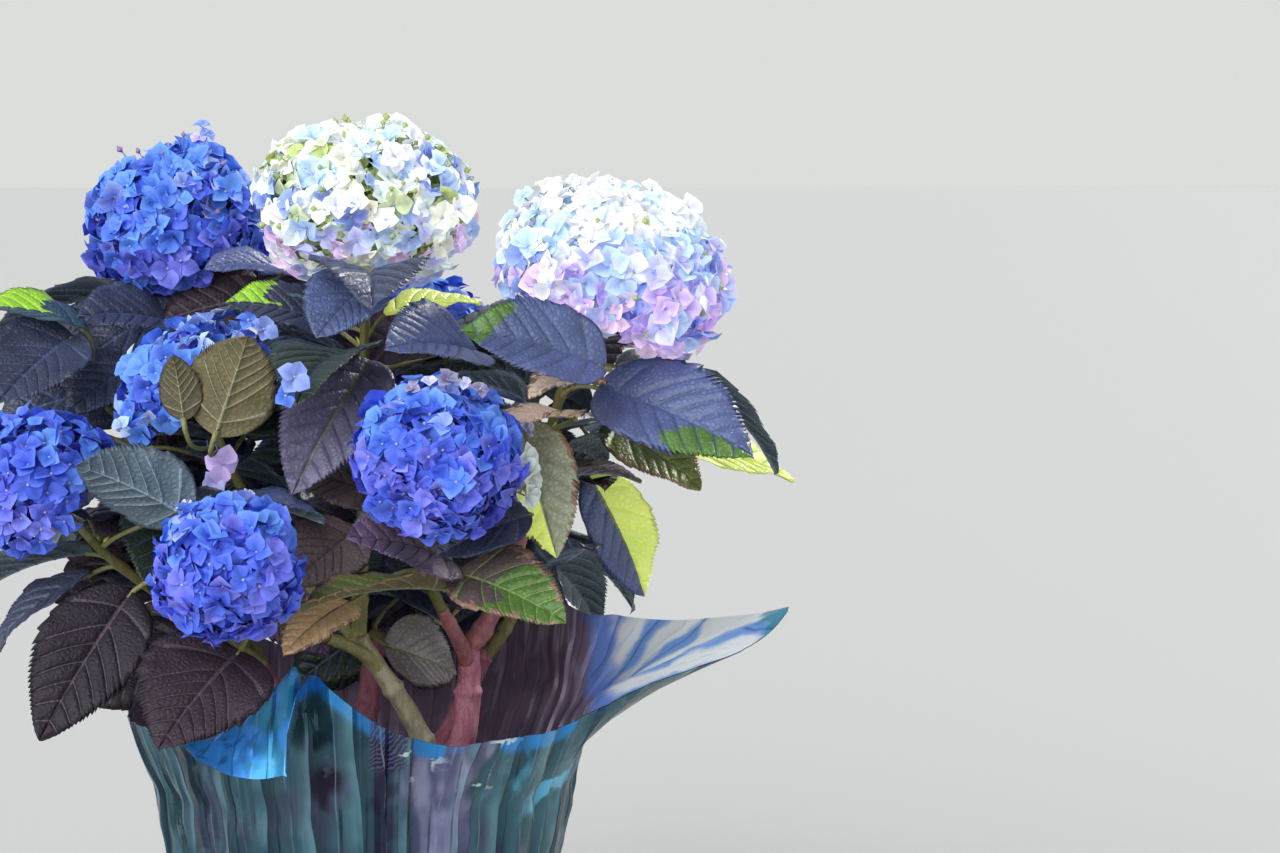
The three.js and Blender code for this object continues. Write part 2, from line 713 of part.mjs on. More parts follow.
// What a leaf runs into: any other body, or the blades of its own mass
function hits(pieces, mass, taken) {
  return taken.filter((item) => {
    if (item.mass === mass) return item.blade && touches(pieces.blade, item.blade);
    return touches(pieces.blade, item.solid) || touches(pieces.petiole, item.solid);
  });
}

// A flower: four points round a dipped middle, and a root in the core
function flowerGeometry(place, normal, half, root, spin) {
  const reference = Math.abs(normal.z) < 0.9 ? UP : new THREE.Vector3(1, 0, 0);
  const side = normal.clone().cross(reference).normalize();
  const other = normal.clone().cross(side);
  const middle = place.clone().addScaledVector(normal, -FLOWER_DIP * half);
  const points = [...middle.toArray(), ...root.toArray()];
  for (let k = 0; k < 4; k += 1) {
    const angle = spin + (k * Math.PI) / 2;
    const tip = place
      .clone()
      .addScaledVector(side, half * Math.cos(angle))
      .addScaledVector(other, half * Math.sin(angle))
      .addScaledVector(normal, FLOWER_RISE * half);
    points.push(...tip.toArray());
  }
  const faces = [];
  for (let k = 0; k < 4; k += 1) {
    const a = 2 + k;
    const b = 2 + ((k + 1) % 4);
    faces.push(0, a, b, 1, b, a);
  }
  return geometryOf(points, faces);
}

// A flower head: a rounded core on its stalk, and flowers set on it in a sunflower spiral
function headSolid(shoot, seed) {
  const axis = endHeading(shoot);
  const turn = new THREE.Quaternion().setFromUnitVectors(UP, axis);
  const centre = vector(shoot.head);
  const radii = new THREE.Vector3(1, 1, shoot.flat).multiplyScalar(shoot.radius);
  const onHead = (way, share) =>
    way.clone().multiply(radii).multiplyScalar(share).applyQuaternion(turn).add(centre);
  const core = new THREE.IcosahedronGeometry(CORE_SHARE, 1);
  core.scale(radii.x, radii.y, radii.z).applyQuaternion(turn).translate(...centre.toArray());
  const foot = shootEnd(shoot).addScaledVector(axis, GAP);
  const line = new THREE.LineCurve3(foot, centre);
  const stalk = limbGeometry(line, () => STALK_RADIUS, SHOOT_SIDES, 1);
  const area = 2 * Math.PI * shoot.radius ** 2 * shoot.flat * HEAD_COVER;
  const count = Math.round(area / FLOWER_AREA);
  const pieces = [solidOf(core), solidOf(stalk)];
  for (let i = 0; i < count; i += 1) {
    const height = 1 - (HEAD_COVER * (i + 0.5)) / count;
    const azimuth = i * Math.PI * (3 - Math.sqrt(5));
    const level = Math.sqrt(1 - height * height);
    const way = new THREE.Vector3(level * Math.cos(azimuth), level * Math.sin(azimuth), height);
    const own = seed + i;
    const tilt = new THREE.Vector3(spread(own), spread(own + 0.3), spread(own + 0.6));
    const normal = way
      .clone()
      .divide(radii)
      .normalize()
      .addScaledVector(tilt, FLOWER_TILT)
      .normalize()
      .applyQuaternion(turn);
    const place = onHead(way, FLOWER_SHARE + VARY_PLACE * spread(own + 0.9));
    const half = FLOWER_HALF * (1 + VARY_HALF * spread(own + 0.8));
    const spin = Math.PI * chance(own + 0.5);
    pieces.push(solidOf(flowerGeometry(place, normal, half, onHead(way, ROOT_SHARE), spin)));
  }
  return fuse(pieces);
}

const bark = new THREE.MeshStandardMaterial({ color: "#6b3f3a", roughness: 0.8 });
const green = new THREE.MeshStandardMaterial({ color: "#5d6b34", roughness: 0.7 });
const leafDark = new THREE.MeshStandardMaterial({ color: "#2f3036", roughness: 0.55 });
const blue = new THREE.MeshStandardMaterial({ color: "#3f55d8", roughness: 0.7 });
const pale = new THREE.MeshStandardMaterial({ color: "#c9d6e2", roughness: 0.7 });
const teal = new THREE.MeshStandardMaterial({ color: "#1f7f8c", roughness: 0.3, metalness: 0.9 });
const plastic = new THREE.MeshStandardMaterial({ color: "#2c3a30", roughness: 0.5 });
const mix = new THREE.MeshStandardMaterial({ color: "#2d2119", roughness: 1 });
const PALE_HEADS = ["top", "right"];

const plant = new THREE.Group();

function add(name, geometry, material) {
  const mesh = new THREE.Mesh(geometry, material);
  mesh.name = name;
  plant.add(mesh);
}

function build() {
  const taken = [];
  const keep = (name, solid, material) => {
    taken.push({ solid });
    add(name, geometryFrom(solid), material);
  };
  keep("foil_wrap", solidOf(foilGeometry()), teal);
  keep("pot", solidOf(potGeometry()), plastic);
  keep("potting_mix", solidOf(soilGeometry()), mix);
  for (const [name, stem] of Object.entries(STEMS)) keep(`stem_${name}`, stemSolid(stem, 0), bark);
  const swollen = Object.fromEntries(
    Object.entries(STEMS).map(([name, stem]) => [name, stemSolid(stem, GAP)]),
  );
  const cutBoughs = [];
  for (const [name, shoot] of Object.entries(SHOOTS)) {
    const near = cutBoughs.filter((bough) => bough.stem === shoot.stem).map((bough) => bough.solid);
    keep(`bough_${name}`, clearOf(boughSolid(shoot, 0), [swollen[shoot.stem], ...near]), green);
    cutBoughs.push({ stem: shoot.stem, solid: boughSolid(shoot, GAP) });
  }
  Object.entries(SHOOTS).forEach(([name, shoot], i) => {
    const material = PALE_HEADS.includes(name) ? pale : blue;
    if (shoot.head) keep(`flower_head_${name}`, headSolid(shoot, 100 * (i + 1)), material);
  });
  growLeaves(taken);
}

// Each shoot's leaves are fused to its stem: first the ones that show, then the pairs fill in between
function growLeaves(taken) {
  const masses = Object.keys(SHOOTS).map((name) => ({ name, pieces: [shootStem(SHOOTS[name])] }));
  masses.forEach(({ name, pieces }) => taken.push({ solid: pieces[0], mass: name }));
  const grow = (mass, { petiole, blade }) => {
    const solid = petiole.add(blade);
    mass.pieces.push(solid);
    taken.push({ solid, blade, mass: mass.name });
  };
  for (const mass of masses) {
    for (const leaf of shownLeaves(mass.name)) {
      const pieces = leafPieces(leaf);
      if (hits(pieces, mass.name, taken).length) throw new Error(`no room for ${leaf.tip.toArray()}`);
      grow(mass, pieces);
    }
  }
  for (const mass of masses) {
    for (const leafAt of pairedLeaves(mass.name)) {
      const pieces = settled(leafAt, mass.name, taken);
      if (pieces) grow(mass, pieces);
    }
  }
  masses.forEach((mass) => add(`leaves_${mass.name}`, geometryFrom(fuse(mass.pieces)), leafDark));
}

build();

export default plant;
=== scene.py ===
"""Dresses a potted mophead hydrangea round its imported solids.

The stems, leaves and flowers follow the same rule as the solids, carried to finer forms: bark with
its nodes, toothed leaves with veins and quilting, heads of four-petalled flowers on thin stalks, and
a pleated foil wrap. Lengths are in millimetres here, and each mesh is scaled to metres as it is made.
A material's lengths are in metres, as its Object coordinates are.
"""
from collections import namedtuple

import bpy
import numpy as np
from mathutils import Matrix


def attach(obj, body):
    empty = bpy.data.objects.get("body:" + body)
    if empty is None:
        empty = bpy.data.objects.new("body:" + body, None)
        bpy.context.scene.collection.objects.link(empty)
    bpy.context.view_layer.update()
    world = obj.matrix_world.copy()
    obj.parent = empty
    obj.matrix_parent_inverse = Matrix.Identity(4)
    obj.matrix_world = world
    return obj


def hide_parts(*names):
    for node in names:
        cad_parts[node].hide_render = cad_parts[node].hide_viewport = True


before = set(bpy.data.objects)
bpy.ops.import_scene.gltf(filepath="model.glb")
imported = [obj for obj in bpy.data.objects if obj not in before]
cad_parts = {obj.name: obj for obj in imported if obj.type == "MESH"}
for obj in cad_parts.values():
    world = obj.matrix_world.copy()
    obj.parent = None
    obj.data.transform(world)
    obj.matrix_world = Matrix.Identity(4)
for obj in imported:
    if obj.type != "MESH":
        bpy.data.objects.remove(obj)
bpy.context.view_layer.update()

MM = 0.001
UP = np.array([0.0, 0.0, 1.0])
GOLDEN = np.pi * (3 - np.sqrt(5))

# The pot, its potting mix and the foil
GAP = 0.3
FOIL_THICKNESS = 1.2
FOIL_BASE_RADIUS = 86
CREASE_RADIUS = 120
CREASE_HEIGHT = 175
COLLAR_LENGTH = 42
COLLAR_RISE = 70
PLEATS = 18
PLEAT_DEPTH = 3.4
PLEAT_AT_BASE = 0.4
PLEAT_AT_END = 0.5
# A corner of the sheet: its azimuth, extra reach, spread below and above that azimuth, rise before and
# after its fold, and the share of the collar where it folds
Corner = namedtuple("Corner", "azimuth reach spread rise folded_rise fold")
CORNERS = [
    Corner(5, 125, (40, 40), 78, 20, 0.25),
    Corner(26, 8, (30, 24), 70, 84, 0.3),
    Corner(50, 104, (36, 36), 60, 86, 0.4),
    Corner(146, 62, (56, 36), 64, 90, 0.4),
    Corner(260, 46, (48, 38), 84, 84, 0.5),
    Corner(260, 62, (42, 4), 70, -92, 0.585),
]
FOLD_SOFTNESS = 0.1
POT_HEIGHT = 172
SOIL_DROP = 18
SOIL_TOP = FOIL_THICKNESS + GAP + POT_HEIGHT - SOIL_DROP

# A stem: its foot on the potting mix, bend, fork, and radii at foot and fork
Stem = namedtuple("Stem", "foot bend fork radii")
STEMS = {
    "right": Stem((50, -12), (58, -14, 205), (60, -15, 250), (8, 6.5)),
    "front": Stem((46, -48), (32, -51, 214), (2, -58, 262), (6.2, 5)),
    "left": Stem((-24, 2), (-38, 2, 200), (-60, 0, 236), (7, 5.6)),
    "back": Stem((-6, 42), (-4, 56, 200), (0, 70, 240), (7, 5.8)),
    "back_right": Stem((36, 32), (50, 40, 200), (66, 50, 238), (6.5, 5.2)),
}
UPRIGHT_FOOT = 20
ROOT_FLARE = 1.5
FLARE_HEIGHT = 0.12

# A shoot: its stem, order down from the fork, end, lean, leaf pairs, azimuth of the first pair, and for
# a flower head its radius and flatness, where the end is the head's centre
Shoot = namedtuple("Shoot", "stem order end lean pairs turn head")
SHOOTS = {
    "right": Shoot("right", 0, (141, -35, 462), 24, 1, 150, (64, 0.8)),
    "front": Shoot("right", 1, (50, -120, 368), 34, 1, 60, (46, 0.9)),
    "top": Shoot("front", 0, (4, -10, 500), 4, 2, 120, (61, 0.8)),
    "left": Shoot("front", 1, (-86, -50, 402), 22, 1, 95, (43, 0.9)),
    "low_front": Shoot("front", 2, (-55, -163, 315), 55, 0, 0, (39, 1)),
    "far_left": Shoot("left", 0, (-165, -92, 351), 42, 2, 115, (41, 1)),
    "upper_left": Shoot("left", 1, (-112, 55, 494), 12, 2, 20, (51, 1)),
    "left_tip": Shoot("left", 2, (-154, 4, 398), 40, 3, 100, None),
    "back_top": Shoot("back", 0, (27, 122, 414), 14, 2, 50, (48, 0.86)),
    "back_left": Shoot("back", 1, (-116, 146, 374), 32, 2, 25, (48, 0.86)),
    "back": Shoot("back", 2, (-36, 190, 346), 42, 2, 70, (44, 0.88)),
    "back_right": Shoot("back_right", 0, (64, 168, 336), 42, 2, 15, (43, 0.88)),
    "right_tip": Shoot("back_right", 1, (138, 52, 362), 44, 1, 85, None),
    "back_tip": Shoot("back_right", 2, (100, 126, 400), 30, 2, 60, None),
}
FORK_STEP = 0.09
SHOOT_CLIMB = 0.22
SHOOT_SPREAD = 0.2
SHOOT_TURN = 0.32
BOUGH_SHARE = 0.42
TOP_BOUGH = 0.94
SIDE_BOUGH = 0.78
BOUGH_END_RADIUS = 3.2
SHOOT_RADIUS = 2.6
CORE_SHARE = 0.8
STALK_SHOWN = 10

# Leaves by the rule
PAIR_START = 0.95
PAIR_STEP = 0.19
PAIR_LENGTH = 108
PAIR_SHRINK = 0.88
PAIR_RISE = -6
PAIR_SINK = 12
VARY_TURN = 14
VARY_RISE = 10
VARY_FACE = 0.3
VARY_DROOP = 0.3
VARY_LENGTH = 0.08
VARY_WIDTH = 0.1
TRY_STEPS = 9
TRY_TURN = 15
TRY_TILTS = (0, -24, 20)
PETIOLE_LENGTH = 26
PETIOLE_RADIUS = 1.25
PETIOLE_RISE = 30
PETIOLE_DROP = 16
ROOT_STEP = 0.03
LAST_ROOT = 0.96
LEAF_WIDTH = 0.66
LEAF_DROOP = 46
LEAF_FOLD = 14
LEAF_SWELL = 0.6
LEAF_TAPER = 0.9
LEAF_WIDEST = 0.4
SHOWN_DROOP = 28

# Leaves that show one by one: foot, tip, lean to the front, width, look
SHOWN_LEAVES = {
    "right": [
        ((134, -52, 400), (218, -97, 366), 48, 0.64, "slate_green_tip"),
        ((138, -98, 414), (62, -120, 435), 52, 0.62, "slate_green_end"),
        ((134, -66, 404), (98, -114, 400), 10, 0.6, "tan"),
        ((122, -46, 383), (80, -104, 379), 4, 0.56, "tan"),
    ],
    "front": [
        ((55, -72, 306), (2, -122, 326), 46, 0.78, "plum"),
        ((12, -44, 340), (-36, -62, 355), 50, 0.76, "umber"),
        ((2, -66, 323), (-30, -98, 296), 58, 0.9, "umber"),
        ((92, -52, 381), (112, -76, 309), 74, 0.6, "grey_olive"),
        ((98, -92, 334), (48, -104, 313), 42, 0.76, "slate_dark"),
        ((58, -80, 301), (118, -124, 281), 44, 0.66, "green_tip"),
        ((1, -92, 287), (-30, -136, 266), 30, 0.62, "dried"),
        ((55, -84, 293), (-20, -136, 289), -4, 0.5, "olive"),
    ],
    "top": [
        ((68, -52, 419), (22, -106, 425), 46, 0.8, "slate"),
        ((9, -56, 457), (-16, -90, 429), 44, 0.96, "slate"),
        ((8, -38, 414), (-30, -92, 345), 64, 0.6, "plum_grey"),
        ((12, 8, 437), (66, 38, 443), 20, 0.5, "lit"),
        ((-18, 0, 432), (-74, -24, 445), 40, 0.66, "dark_lit"),
    ],
    "left": [
        ((-66, -124, 380), (-46, -138, 434), -78, 0.86, "khaki_under"),
        ((-82, -126, 388), (-86, -134, 423), -78, 0.66, "brown_under"),
        ((-79, -126, 336), (-136, -144, 367), -66, 0.74, "grey_under"),
        ((-50, -28, 292), (-16, -40, 250), 60, 0.86, "plum"),
    ],
    "low_front": [
        ((-52, -138, 268), (-88, -188, 226), 50, 0.98, "plum_brown"),
        ((-115, -98, 294), (-158, -140, 221), 66, 0.62, "plum_deep"),
    ],
    "far_left": [
        ((-143, -60, 299), (-196, -84, 257), 4, 0.6, "slate_dark"),
    ],
    "upper_left": [
        ((-106, 34, 428), (-156, -22, 438), 44, 0.66, "slate_dark"),
        ((-48, 22, 462), (-86, -14, 464), 34, 0.6, "slate"),
    ],
    "left_tip": [
        ((-154, -4, 429), (-216, -30, 442), 20, 0.66, "teal_lit"),
        ((-160, -14, 426), (-194, -66, 390), 60, 0.76, "slate_dark"),
        ((-122, 14, 412), (-164, -26, 382), 52, 0.62, "slate_dark"),
    ],
    "right_tip": [
        ((127, 20, 345), (160, 45, 270), 44, 0.54, "slate_and_lit"),
        ((137, 30, 373), (192, 4, 338), 40, 0.66, "olive"),
        ((157, 60, 357), (249, 90, 333), 26, 0.54, "lit"),
        ((12, -10, 251), (55, -32, 238), -70, 0.96, "light_under"),
    ],
}

# A leaf's mesh: pairs of side veins, the rows for each stretch between two and the columns from the
# midrib out, which lie close together at a vein. The leaves deep in the crown have a coarser one.
FINE = (
    8,
    np.array([0, 0.04, 0.12, 0.22, 0.32, 0.42, 0.5, 0.58, 0.68, 0.78, 0.88, 0.96]),
    np.array([0, 0.035, 0.1, 0.2, 0.32, 0.45, 0.58, 0.72, 0.86, 1]),
)
COARSE = (7, np.array([0, 0.1, 0.5, 0.9]), np.array([0, 0.05, 0.3, 0.65, 1]))
TOOTH_ROWS = 4
TOOTH_DEPTH = 0.06
VEIN_SLANT = 0.8
VEIN_CURVE = 1.1
VEIN_REACH = 0.86
QUILT = 0.017
BLADE = 0.55
MARGIN_STEPS = 24
MARGIN_LIMIT = 0.7
MIDRIB_DIP = 0.004
MARGIN_WAVE = 0.018
MARGIN_RIPPLE = 0.007
MARGIN_CURL = 0.03
TIP_FALL = 0.03
VEIN_RIDGE = 0.006
MIDRIB_RIDGE = 0.01
# A limb's nodes: how far apart they are, and how much and over what share of that it swells at each
NODE_SPACING = 34
NODE_SWELL = 0.2
NODE_WIDTH = 0.07


def chance(seed):
    """A repeatable number from 0 to 1 for each seed: the fraction of a large multiple of its sine."""
    s = np.sin(np.asarray(seed, float) * 12.9898 + 4.137) * 43758.5453
    return s - np.floor(s)


def spread(seed):
    """A repeatable number from -1 to 1 for each seed."""
    return 2 * chance(seed) - 1


def unit(vectors):
    """Vectors divided by their lengths."""
    vectors = np.asarray(vectors, float)
    return vectors / np.linalg.norm(vectors, axis=-1, keepdims=True)


def heading(azimuth, rise):
    """The unit vector at an azimuth and a rise above level, in degrees."""
    a, r = np.radians(azimuth), np.radians(rise)
    return np.stack([np.cos(a) * np.cos(r), np.sin(a) * np.cos(r), np.sin(r) * np.ones_like(a)], -1)


def smooth(x, low=0.0, high=1.0):
    """Rises from 0 at low to 1 at high along 3 t squared minus 2 t cubed."""
    t = np.clip((np.asarray(x, float) - low) / (high - low), 0, 1)
    return t * t * (3 - 2 * t)


def lerp(a, b, t):
    """The value t of the way from a to b."""
    return a + (b - a) * t


def ripple(points, scale, seed):
    """Smooth noise from -1 to 1: the mean of six sine waves in seeded directions."""
    total = 0
    for k in range(6):
        way = heading(360 * chance(seed + k), 180 * chance(seed + k + 0.5) - 90)
        pace = scale * (0.7 + 0.9 * chance(seed + k + 0.25))
        total = total + np.sin(points @ way * pace + 6.28 * chance(seed + k + 0.75))
    return total / 6


def placed(name, data):
    """An object that puts this mesh, light or camera in the scene."""
    thing = bpy.data.objects.new(name, data)
    bpy.context.scene.collection.objects.link(thing)
    return thing


class Batch:
    """Surfaces that are gathered, and joined into one mesh: points, triangles, a material for each, and
    a number at each point, its edge: 1 at a sepal's margin or the foil's rim, less than 0 in the foil's
    grooves, and 0 elsewhere."""

    def __init__(self):
        self.points = []
        self.faces = []
        self.slots = []
        self.edges = []
        self.materials = []
        self.count = 0

    def slot(self, material):
        """The number of a material among this mesh's own."""
        if material not in self.materials:
            self.materials.append(material)
        return self.materials.index(material)

    def add(self, points, faces, material, edge=0.0):
        """Adds a surface; material is one material, or a number of a slot for each face."""
        slots = material if isinstance(material, np.ndarray) else self.slot(material)
        self.points.append(np.asarray(points, float).reshape(-1, 3))
        self.faces.append(faces + self.count)
        self.slots.append(np.broadcast_to(slots, len(faces)))
        self.edges.append(np.broadcast_to(edge, len(self.points[-1])))
        self.count += len(self.points[-1])

    def piece(self, name, nodes):
        """The mesh as a finished piece that rides on the plant and stands for nodes."""
        points = np.concatenate(self.points) * MM
        faces = np.concatenate(self.faces)
        mesh = bpy.data.meshes.new(name)
        mesh.vertices.add(len(points))
        mesh.vertices.foreach_set("co", points.ravel())
        mesh.loops.add(faces.size)
        mesh.loops.foreach_set("vertex_index", faces.ravel().astype(np.int32))
        mesh.polygons.add(len(faces))
        mesh.polygons.foreach_set("loop_start", np.arange(0, faces.size, 3, dtype=np.int32))
        for material in self.materials:
            mesh.materials.append(material)
        mesh.polygons.foreach_set("material_index", np.concatenate(self.slots).astype(np.int32))
        edge = mesh.attributes.new("edge", "FLOAT", "POINT")
        edge.data.foreach_set("value", np.concatenate(self.edges))
        mesh.update(calc_edges=True)
        mesh.shade_smooth()
        thing = placed(name, mesh)
        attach(thing, "root")
        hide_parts(*nodes)
        return thing


def grid_faces(rows, columns, wrap=False):
    """Triangles of a grid of points, row by row; with wrap the last column joins the first."""
    across = columns if wrap else columns - 1
    i, j = np.meshgrid(np.arange(rows - 1), np.arange(across), indexing="ij")
    a = i * columns + j
    b = i * columns + (j + 1) % columns
    first = np.stack([a, b, b + columns], -1)
    second = np.stack([a, b + columns, a + columns], -1)
    return np.stack([first, second], 2).reshape(-1, 3)


def round_angles(sides):
    """The angles of a ring's corners, in radians."""
    return 2 * np.pi * np.arange(sides) / sides


def fan(hub, rim, flip=False):
    """Triangles from a hub to each two neighbours on a closed rim, turned over with flip."""
    turned = np.roll(rim, -1)
    pair = (rim, turned) if flip else (turned, rim)
    return np.stack([np.full(len(rim), hub), *pair], -1)


def tube(points, radii, sides):
    """Rings round a line of points, closed at both ends. Ring i's corner j lies radii[i, j] from the
    line, at the angle 2 pi j / sides round it."""
    points = np.asarray(points, float)
    radii = np.broadcast_to(np.asarray(radii, float).reshape(len(points), -1), (len(points), sides))
    along = unit(np.gradient(points, axis=0))
    reference = np.eye(3)[np.argmin(np.abs(along.mean(0)))]
    side = unit(np.cross(along, reference))
    other = np.cross(along, side)
    angle = round_angles(sides)
    out = side[:, None] * np.cos(angle)[:, None] + other[:, None] * np.sin(angle)[:, None]
    rings = points[:, None] + out * radii[..., None]
    last = len(points) * sides
    corners = np.arange(sides)
    ends = fan(last, corners), fan(last + 1, last - sides + corners, flip=True)
    faces = np.concatenate([grid_faces(len(points), sides, wrap=True), *ends])
    return np.concatenate([rings.reshape(-1, 3), points[[0, -1]]]), faces


class Path:
    """A curve held as a close row of points and read by its share of length."""

    def __init__(self, points):
        self.points = np.asarray(points, float)
        steps = np.linalg.norm(np.diff(self.points, axis=0), axis=1)
        along = np.concatenate([[0], np.cumsum(steps)])
        self.length = along[-1]
        self.shares = along / self.length

    def at(self, share):
        """The point or points at a share of the length."""
        return np.stack([np.interp(share, self.shares, column) for column in self.points.T], -1)


def hermite(p, q, out, into, t):
    """A cubic from p to q that leaves along out and arrives along into."""
    t = t[:, None]
    a = 2 * p - 2 * q + out + into
    b = -3 * p + 3 * q - 2 * out - into
    return ((a * t + b) * t + out) * t + p


def catmull_rom(points, count=60):
    """The centripetal Catmull-Rom curve through points, with its ends carried on in a straight line."""
    points = np.asarray(points, float)
    points = np.concatenate([[2 * points[0] - points[1]], points, [2 * points[-1] - points[-2]]])
    paces = np.linalg.norm(np.diff(points, axis=0), axis=1) ** 0.5
    t = np.linspace(0, 1, count)
    parts = []
    for k in range(1, len(points) - 2):
        a, b, c = paces[k - 1 : k + 2]
        before, here, there, after = points[k - 1 : k + 3]
        out = (here - before) / a - (there - before) / (a + b) + (there - here) / b
        into = (there - here) / b - (after - here) / (b + c) + (after - there) / c
        parts.append(hermite(here, there, out * b, into * b, t))
    return Path(np.concatenate([part[1:] if k else part for k, part in enumerate(parts)]))


def bezier(a, b, c, d, count=120):
    """The cubic Bezier curve with these four control points."""
    t = np.linspace(0, 1, count)[:, None]
    return Path((1 - t) ** 3 * a + 3 * (1 - t) ** 2 * t * b + 3 * (1 - t) * t**2 * c + t**3 * d)


def tone(text):
    """A colour written as six hexadecimal digits, as linear red, green, blue and alpha."""
    parts = np.array([int(text[k : k + 2], 16) / 255 for k in (0, 2, 4)])
    linear = np.where(parts <= 0.04045, parts / 12.92, ((parts + 0.055) / 1.055) ** 2.4)
    return (*linear, 1.0)


def shade(colour, strength, veil=0.0):
    """A colour made darker or lighter by a factor, with a little white added."""
    return [min(1, strength * part + veil) for part in tone(colour)[:3]] + [1]


class Value:
    """A shader socket that Python's operators work on: each operation adds its Math node."""

    def __init__(self, shader, socket):
        self.shader = shader
        self.socket = socket

    def _math(self, operation, *values):
        return self.shader.node("ShaderNodeMath", dict(enumerate(values)), operation=operation)

    def __add__(self, other):
        return self._math("ADD", self, other)

    def __sub__(self, other):
        return self._math("SUBTRACT", self, other)

    def __mul__(self, other):
        return self._math("MULTIPLY", self, other)

    def __pow__(self, other):
        return self._math("POWER", self, other)

    def __rsub__(self, other):
        return self._math("SUBTRACT", other, self)

    __radd__ = __add__
    __rmul__ = __mul__

    def size(self):
        """The value without its sign."""
        return self._math("ABSOLUTE", self)

    def fold(self, width):
        """The value turned back and forth between 0 and this width."""
        return self._math("PINGPONG", self, width)

    def part(self):
        """The value's fractional part."""
        return self._math("FRACT", self)

    def angle(self, x):
        """The angle in radians of the direction whose parts are x and this value."""
        return self._math("ARCTAN2", self, x)

    def near(self, centre, half, edge):
        """0 from half off the centre on, and 1 nearer to it by an edge or more."""
        return (half - (self - centre).size()).step(0, edge)

    def step(self, low, high):
        """0 below low, 1 above high, and smooth between; 1 below and 0 above if high comes first."""
        inputs = {"Value": self, "From Min": low, "From Max": high}
        return self.shader.node("ShaderNodeMapRange", inputs, interpolation_type="SMOOTHSTEP")


NOISE_ROUGHNESS = 0.55


class Shader:
    """The nodes of one material, or of the world. A colour is a tone's six digits, or a value."""

    def __init__(self, name, store=bpy.data.materials):
        self.material = store.new(name)
        self.material.use_nodes = True
        self.tree = self.material.node_tree
        self.tree.nodes.clear()
        self.place = self.node("ShaderNodeTexCoord", output="Object")

    def node(self, kind, inputs=None, output=0, **settings):
        """A node of this kind: its settings come first, then its sockets' values or links."""
        node = self.tree.nodes.new(kind)
        for key, value in settings.items():
            setattr(node, key, value)
        for key, value in (inputs or {}).items():
            if isinstance(value, Value):
                self.tree.links.new(value.socket, node.inputs[key])
            else:
                node.inputs[key].default_value = value
        return Value(self, node.outputs[output]) if node.outputs else None

    def noise(self, scale, detail=3.0, stretch=(1, 1, 1)):
        """Fractal noise from about 0 to 1, in waves per metre, finer along a stretched axis."""
        where = self.node("ShaderNodeMapping", {"Vector": self.place, "Scale": stretch})
        inputs = {"Vector": where, "Scale": scale, "Detail": detail, "Roughness": NOISE_ROUGHNESS}
        return self.node("ShaderNodeTexNoise", inputs)

    def cells(self, scale):
        """The distance to the nearest edge between random cells, 0 on the edge."""
        inputs = {"Vector": self.place, "Scale": scale}
        return self.node("ShaderNodeTexVoronoi", inputs, feature="DISTANCE_TO_EDGE")

    def axis(self, name):
        """The point's X, Y or Z in metres."""
        return self.node("ShaderNodeSeparateXYZ", {0: self.place}, output=name)

    def edge(self):
        """The number that each point of the mesh carries, 1 at a margin."""
        return self.node("ShaderNodeAttribute", output="Fac", attribute_name="edge")

    def mix(self, first, second, share):
        """A colour that goes from first to second as share goes from 0 to 1."""
        first, second = (tone(c) if isinstance(c, str) else c for c in (first, second))
        return self.node("ShaderNodeMix", {0: share, 6: first, 7: second}, output=2, data_type="RGBA")

    def coats(self, base, *layers):
        """A base with coats laid on it in turn, each a colour and the share that it covers."""
        for colour, share in layers:
            base = self.mix(base, colour, share)
        return base

    def finish(self, base, roughness, height=None, relief=0.0005, **constants):
        """The surface: base colour, roughness and a height in its own relief, with constants set."""
        inputs = {"Base Color": base, "Roughness": roughness}
        if height is not None:
            bump = {"Height": height, "Distance": relief, "Strength": 1.0}
            inputs["Normal"] = self.node("ShaderNodeBump", bump)
        inputs.update({name.replace("_", " ").title(): value for name, value in constants.items()})
        surface = self.node("ShaderNodeBsdfPrincipled", inputs)
        self.node("ShaderNodeOutputMaterial", {"Surface": surface})
        return self.material


def leaf_material(name, colour, gloss, glow=0.0):
    """A leaf's skin: its colour a little uneven, over a fine net of veins and small puckers, with more
    or less of a gloss, and a glow where the sun shines through it."""
    shader = Shader(name)
    net = shader.cells(330).step(0.02, 0.34)
    mottle = shader.noise(46, 4)
    dark = shade(colour, 0.7)
    light = shade(colour, 1.35)
    base = shader.mix(dark, light, (mottle * 0.85 + net * 0.2).step(0.2, 0.9))
    height = net * 0.45 + shader.noise(900, 2) * 0.3
    return shader.finish(
        base,
        mottle * 0.22 + (0.54 - 0.22 * gloss),
        height,
        0.0006,
        sheen_weight=0.04 + 0.2 * gloss,
        sheen_roughness=0.4,
        sheen_tint=tone("8a9ccf"),
        coat_weight=0.16 * gloss,
        coat_roughness=0.3,
        emission_color=tone(colour),
        emission_strength=glow,
    )


def petal_material(name, colour, glow=0.0):
    """A sepal: soft satin with faint streaks in its colour, paler at its margin, partly its own paler rim
    and partly a painted highlight on its lit edge, and with a faint glow where light comes through it."""
    shader = Shader(name)
    streaks = shader.noise(260, 3, stretch=(1, 1, 0.6))
    deep = shade(colour, 0.72)
    light = shade(colour, 1.14, 0.05)
    # Paler towards the margin: partly the sepal's own rim and partly a painted highlight on its lit edge
    base = shader.mix(deep, light, (shader.edge() * 0.55 + streaks * 0.7).step(0.1, 0.95))
    return shader.finish(
        base,
        streaks * 0.2 + 0.45,
        shader.noise(1100, 2),
        0.0002,
        sheen_weight=0.25,
        sheen_roughness=0.35,
        sheen_tint=tone("c8d0ff"),
        emission_color=tone(colour),
        emission_strength=glow,
    )


